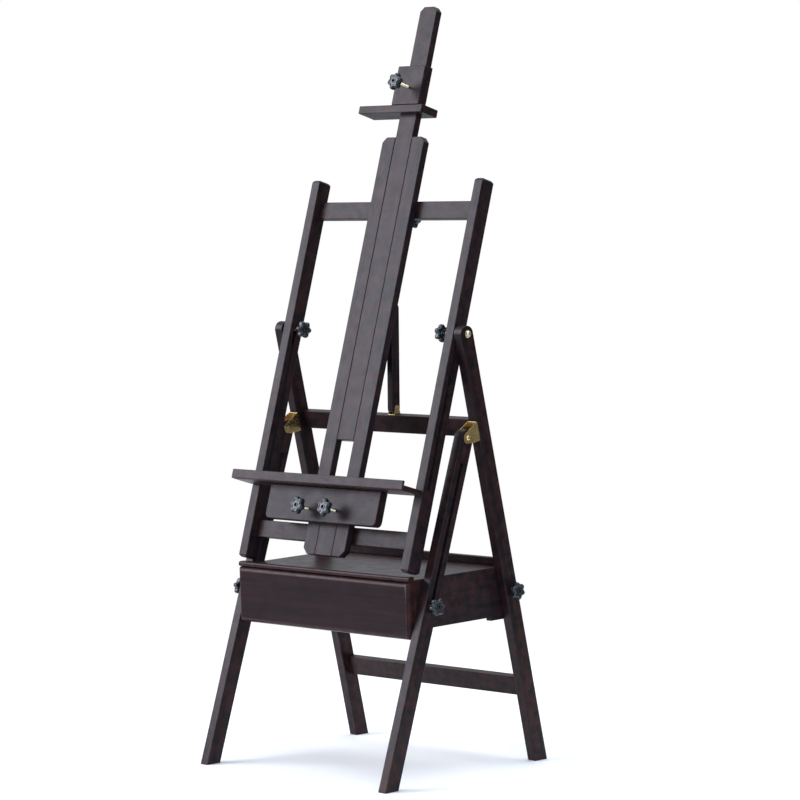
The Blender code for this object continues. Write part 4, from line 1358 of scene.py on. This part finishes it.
class EASEL_OT_bolts(bpy.types.Operator):
    """Threaded bolts of the knobs, and the pivot bolts with their domed nuts"""

    bl_idname = "easel.bolts"
    bl_label = "Bolts"

    def execute(self, context):
        self.plain_bolts(context.scene.easel_sizes)
        self.apex_bolts(context.scene.easel_sizes)
        return {"FINISHED"}

    def plain_bolts(self, sizes):
        """Threaded rods, each cut to its length from one long thread."""
        low, high = extents("clamp_bolt", "frame")
        longest = 0.07
        thread = thread_stations((high.x - low.x) / 2, longest, sizes.thread_pitch)
        rod_piece = turned_piece("thread", thread, 20)
        for node, place, axis, sign in PLAIN_BOLTS:
            low, high = extents(node, place)
            index = "xyz".index(axis)
            outer = high[index] if sign > 0 else low[index]
            length = high[index] - low[index] - sizes.recess
            piece = copy_of(rod_piece)
            select(piece, "FACE", lambda face: True)
            bpy.ops.mesh.bisect(
                plane_co=(0.0, 0.0, length), plane_no=(0.0, 0.0, 1.0), use_fill=True, clear_outer=True
            )
            start()
            spot = (low + high) / 2
            spot[index] = outer - sign * (sizes.recess + length)
            matrix = PLACES[place] @ Matrix.Translation(spot) @ outward_turn(axis, sign)
            put(piece, matrix, node + "-zinc", bolt_finish(), node)
        bpy.data.objects.remove(rod_piece, do_unlink=True)

    def apex_bolts(self, sizes):
        """Pivot bolts: a thread in the knob, a washer inside the leg, a washer and a domed nut outside it."""
        gap = 0.0003
        shank = 0.0038
        thread_radius = 0.0030
        threaded = 0.020
        wide = 0.0089
        for side, word in SIDES:
            node = "apex_bolt_" + word
            low, high = extents(node, "frame")
            outer = high.x if side > 0 else -low.x
            inner = low.x if side > 0 else -high.x
            leg_low, leg_high = extents("rear_leg_" + word, "rear")
            face = max(abs(leg_low.x), abs(leg_high.x))
            leg_inner = min(abs(leg_low.x), abs(leg_high.x))
            stile_low, stile_high = extents("stile_" + word, "frame")
            stile_outer = max(abs(stile_low.x), abs(stile_high.x))
            stations = thread_stations(thread_radius, threaded, sizes.thread_pitch)
            stations = [(radius, inner + sizes.recess + height) for radius, height in stations]
            last = stations[-1][1]
            stations += [
                (shank, last + 0.0005),
                (shank, stile_outer + gap),
                (wide * 0.93, stile_outer + gap + 0.0001),
                (wide, stile_outer + gap + 0.0006),
                (wide, leg_inner - gap - 0.0006),
                (wide * 0.93, leg_inner - gap - 0.0001),
                (shank, leg_inner - gap),
                (shank, face + gap),
                (wide * 0.95, face + gap + 0.0001),
                (wide, face + gap + 0.0006),
                (wide, face + gap + 0.0012),
                (wide * 0.84, face + gap + 0.0018),
            ]
            base = face + gap + 0.0018
            for step in range(1, 7):
                angle = step / 7 * math.pi / 2
                stations.append((wide * 0.82 * math.cos(angle), base + (outer - base) * math.sin(angle)))
            stations.append((0.0002, outer))
            piece = turned_piece(node, stations, 32)
            put(piece, PLACES["frame"] @ outward_turn("x", side), node + "-zinc", bolt_finish(), node)


# A screw head's radii, as shares of its size, and heights
SCREW = ((0.5, -0.002), (0.96, -0.0004), (1.0, 0.0), (1.0, 0.00012), (0.93, 0.00022))


class EASEL_OT_screw_plugs(bpy.types.Operator):
    """Screw heads let into the legs' and stiles' outer faces where the crossbars meet them"""

    bl_idname = "easel.screw_plugs"
    bl_label = "Screws"

    def execute(self, context):
        radius = context.scene.easel_sizes.plug_radius
        # The screw heads are near black: a blackened screw, and a painted shade standing in for the recessed
        # screw holes that they fill
        dark = metal_finish("Blackened screw", (0.05, 0.045, 0.045), 0.38)
        for side, word in SIDES:
            spots = []
            for bar in ("rear_crossbar_upper", "rear_crossbar_lower"):
                centre = middle(bar, "rear")
                spots.append(("rear", "rear_leg_" + word, bar, 0.0, centre.z))
            for bar in ("frame_crossbar_top", "frame_crossbar_bottom"):
                centre = middle(bar, "frame")
                spots.append(("frame", "stile_" + word, bar, centre.y, centre.z))
            for place, node, bar, depth, height in spots:
                low, high = extents(node, place)
                face = high.x if side > 0 else low.x
                screw = turned_piece("screw", [(radius * share, height) for share, height in SCREW], 24)
                for turn in (0.0, math.pi / 2):
                    groove = block(
                        "groove", (-radius * 0.55, -0.00045, -0.0006), (radius * 0.55, 0.00045, 0.001)
                    )
                    groove.rotation_euler.z = turn
                    activate(groove)
                    bpy.ops.object.transform_apply(location=False, rotation=True, scale=False)
                    combine(screw, groove, "DIFFERENCE")
                matrix = PLACES[place] @ Matrix.Translation((face, depth, height)) @ outward_turn("x", side)
                activate(screw)
                screw.matrix_world = matrix
                bpy.ops.object.transform_apply(location=True, rotation=True, scale=True)
                bpy.ops.object.shade_smooth_by_angle(angle=SMOOTH)
                screw.name = f"{bar}_screw_{word}"
                screw.data.name = screw.name
                screw.data.materials.clear()
                screw.data.materials.append(dark)
                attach(screw, frame["nodes"][node]["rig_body"])
        return {"FINISHED"}


# Stage


class EASEL_OT_stage(bpy.types.Operator):
    """Pale floor, soft studio light and the camera"""

    bl_idname = "easel.stage"
    bl_label = "Stage"

    def execute(self, context):
        stage = context.scene.easel_stage
        self.add_floor(stage)
        self.add_room(context.scene, stage)
        chest = (0.0, 0.0, 0.9)
        waist = (0.0, 0.0, 0.8)
        self.add_light("Key softbox", (-2.9, -2.6, 2.6), chest, (3.2, 3.0), stage.key, (0.86, 0.89, 1.0))
        self.add_light("Top softbox", (0.3, 0.6, 4.2), waist, (3.0, 3.0), stage.top, (0.95, 0.97, 1.0))
        self.add_light("Fill softbox", (4.4, -2.6, 1.8), chest, (2.4, 2.8), stage.fill, (0.55, 0.80, 1.0))
        self.add_camera(context.scene, stage)
        context.scene.view_settings.view_transform = "Standard"
        return {"FINISHED"}

    def add_floor(self, stage):
        """A wide pale disc that fades out at its rim."""
        start()
        bpy.ops.mesh.primitive_circle_add(vertices=96, radius=5.0, fill_type="NGON", location=ORIGIN)
        floor = bpy.context.object
        floor.name = "floor"
        material, tree, shader = new_material("Pale floor")
        shader.inputs["Base Color"].default_value = (*stage.floor, 1.0)
        shader.inputs["Roughness"].default_value = 0.9
        shader.inputs["Specular IOR Level"].default_value = 0.1
        coords = tree.nodes.new("ShaderNodeTexCoord")
        length = tree.nodes.new("ShaderNodeVectorMath")
        length.operation = "LENGTH"
        tree.links.new(coords.outputs["Object"], length.inputs[0])
        fade = ranged(tree, length.outputs["Value"], 1.1, 2.6, 1.0, 0.0)
        tree.links.new(fade, shader.inputs["Alpha"])
        floor.data.materials.append(material)

    def add_room(self, scene, stage):
        """White to look at; as light, bright on the left and above, dim on the right and below."""
        world = bpy.data.worlds.new("Studio")
        scene.world = world
        world.use_nodes = True
        tree = world.node_tree
        tree.nodes.clear()
        coords = tree.nodes.new("ShaderNodeTexCoord")
        lean = tree.nodes.new("ShaderNodeVectorMath")
        lean.operation = "DOT_PRODUCT"
        lean.inputs[1].default_value = (-0.80, 0.10, 0.59)
        tree.links.new(coords.outputs["Generated"], lean.inputs[0])
        level = ranged(tree, lean.outputs["Value"], -0.75, 0.8, 0.10, 1.0)
        strength = sums(tree, "MULTIPLY", level, stage.bounce)
        room = tree.nodes.new("ShaderNodeBackground")
        room.inputs["Color"].default_value = (0.88, 0.93, 1.0, 1.0)
        tree.links.new(strength, room.inputs["Strength"])
        seen = tree.nodes.new("ShaderNodeBackground")
        seen.inputs["Color"].default_value = (1.0, 1.0, 1.0, 1.0)
        seen.inputs["Strength"].default_value = 1.0
        path = tree.nodes.new("ShaderNodeLightPath")
        choose = tree.nodes.new("ShaderNodeMixShader")
        tree.links.new(path.outputs["Is Camera Ray"], choose.inputs[0])
        tree.links.new(room.outputs[0], choose.inputs[1])
        tree.links.new(seen.outputs[0], choose.inputs[2])
        out = tree.nodes.new("ShaderNodeOutputWorld")
        tree.links.new(choose.outputs[0], out.inputs["Surface"])

    def add_light(self, name, place, aim, size, power, colour):
        """A rectangular soft light that looks at a point."""
        light = bpy.data.lights.new(name, "AREA")
        light.shape = "RECTANGLE"
        light.size, light.size_y = size
        light.energy = power
        light.color = colour
        lamp = bpy.data.objects.new(name, light)
        lamp.location = place
        direction = Vector(aim) - Vector(place)
        lamp.rotation_euler = direction.to_track_quat("-Z", "Y").to_euler()
        bpy.context.scene.collection.objects.link(lamp)

    def add_camera(self, scene, stage):
        """A long lens from the front right, slightly above, with a small roll."""
        turn = math.radians(45.45)
        dip = math.radians(4.4469)
        roll = math.radians(-1.8504)
        ahead = Vector((-math.sin(turn) * math.cos(dip), math.cos(turn) * math.cos(dip), -math.sin(dip)))
        level = Vector((math.cos(turn), math.sin(turn), 0.0))
        above = level.cross(ahead)
        right = level * math.cos(roll) + above * math.sin(roll)
        upward = above * math.cos(roll) - level * math.sin(roll)
        camera = bpy.data.cameras.new("Camera")
        camera.sensor_width = 36.0
        camera.lens = stage.lens
        camera.clip_end = 60.0
        mount = bpy.data.objects.new("Camera", camera)
        matrix = Matrix((right, upward, -ahead)).transposed().to_4x4()
        matrix.translation = (5.7054, -5.5018, 1.4440)
        mount.matrix_world = matrix
        scene.collection.objects.link(mount)
        scene.camera = mount


PIECE_OPERATORS = (
    EASEL_OT_rear_legs,
    EASEL_OT_rear_crossbars,
    EASEL_OT_hinge_brackets,
    EASEL_OT_front_legs,
    EASEL_OT_stiles,
    EASEL_OT_frame_crossbars,
    EASEL_OT_mast,
    EASEL_OT_strut_guide,
    EASEL_OT_post,
    EASEL_OT_clamp,
    EASEL_OT_tray,
    EASEL_OT_strut,
    EASEL_OT_case,
    EASEL_OT_drawer,
    EASEL_OT_knobs,
    EASEL_OT_bolts,
    EASEL_OT_screw_plugs,
    EASEL_OT_stage,
)


class EASEL_PT_panel(bpy.types.Panel):
    """The easel's sizes, finishes and build steps"""

    bl_idname = "EASEL_PT_panel"
    bl_label = "Studio easel"
    bl_space_type = "VIEW_3D"
    bl_region_type = "UI"
    bl_category = "Easel"

    def draw(self, context):
        scene = context.scene
        for settings in (scene.easel_sizes, scene.easel_finish, scene.easel_stage):
            box = self.layout.box()
            for name in settings.__annotations__:
                box.prop(settings, name)
        for operator in PIECE_OPERATORS:
            self.layout.operator(operator.bl_idname)


CLASSES = (EaselSizes, EaselFinish, EaselStage, *PIECE_OPERATORS, EASEL_PT_panel)


def register():
    """Adds the classes and the scene's settings."""
    for item in CLASSES:
        bpy.utils.register_class(item)
    bpy.types.Scene.easel_sizes = PointerProperty(type=EaselSizes)
    bpy.types.Scene.easel_finish = PointerProperty(type=EaselFinish)
    bpy.types.Scene.easel_stage = PointerProperty(type=EaselStage)


def unregister():
    """Takes them away again."""
    del bpy.types.Scene.easel_stage
    del bpy.types.Scene.easel_finish
    del bpy.types.Scene.easel_sizes
    for item in reversed(CLASSES):
        bpy.utils.unregister_class(item)


def main():
    """Builds every piece and the stage."""
    register()
    for operator in PIECE_OPERATORS:
        group, name = operator.bl_idname.split(".")
        getattr(getattr(bpy.ops, group), name)()


if __name__ == "__main__":
    main()
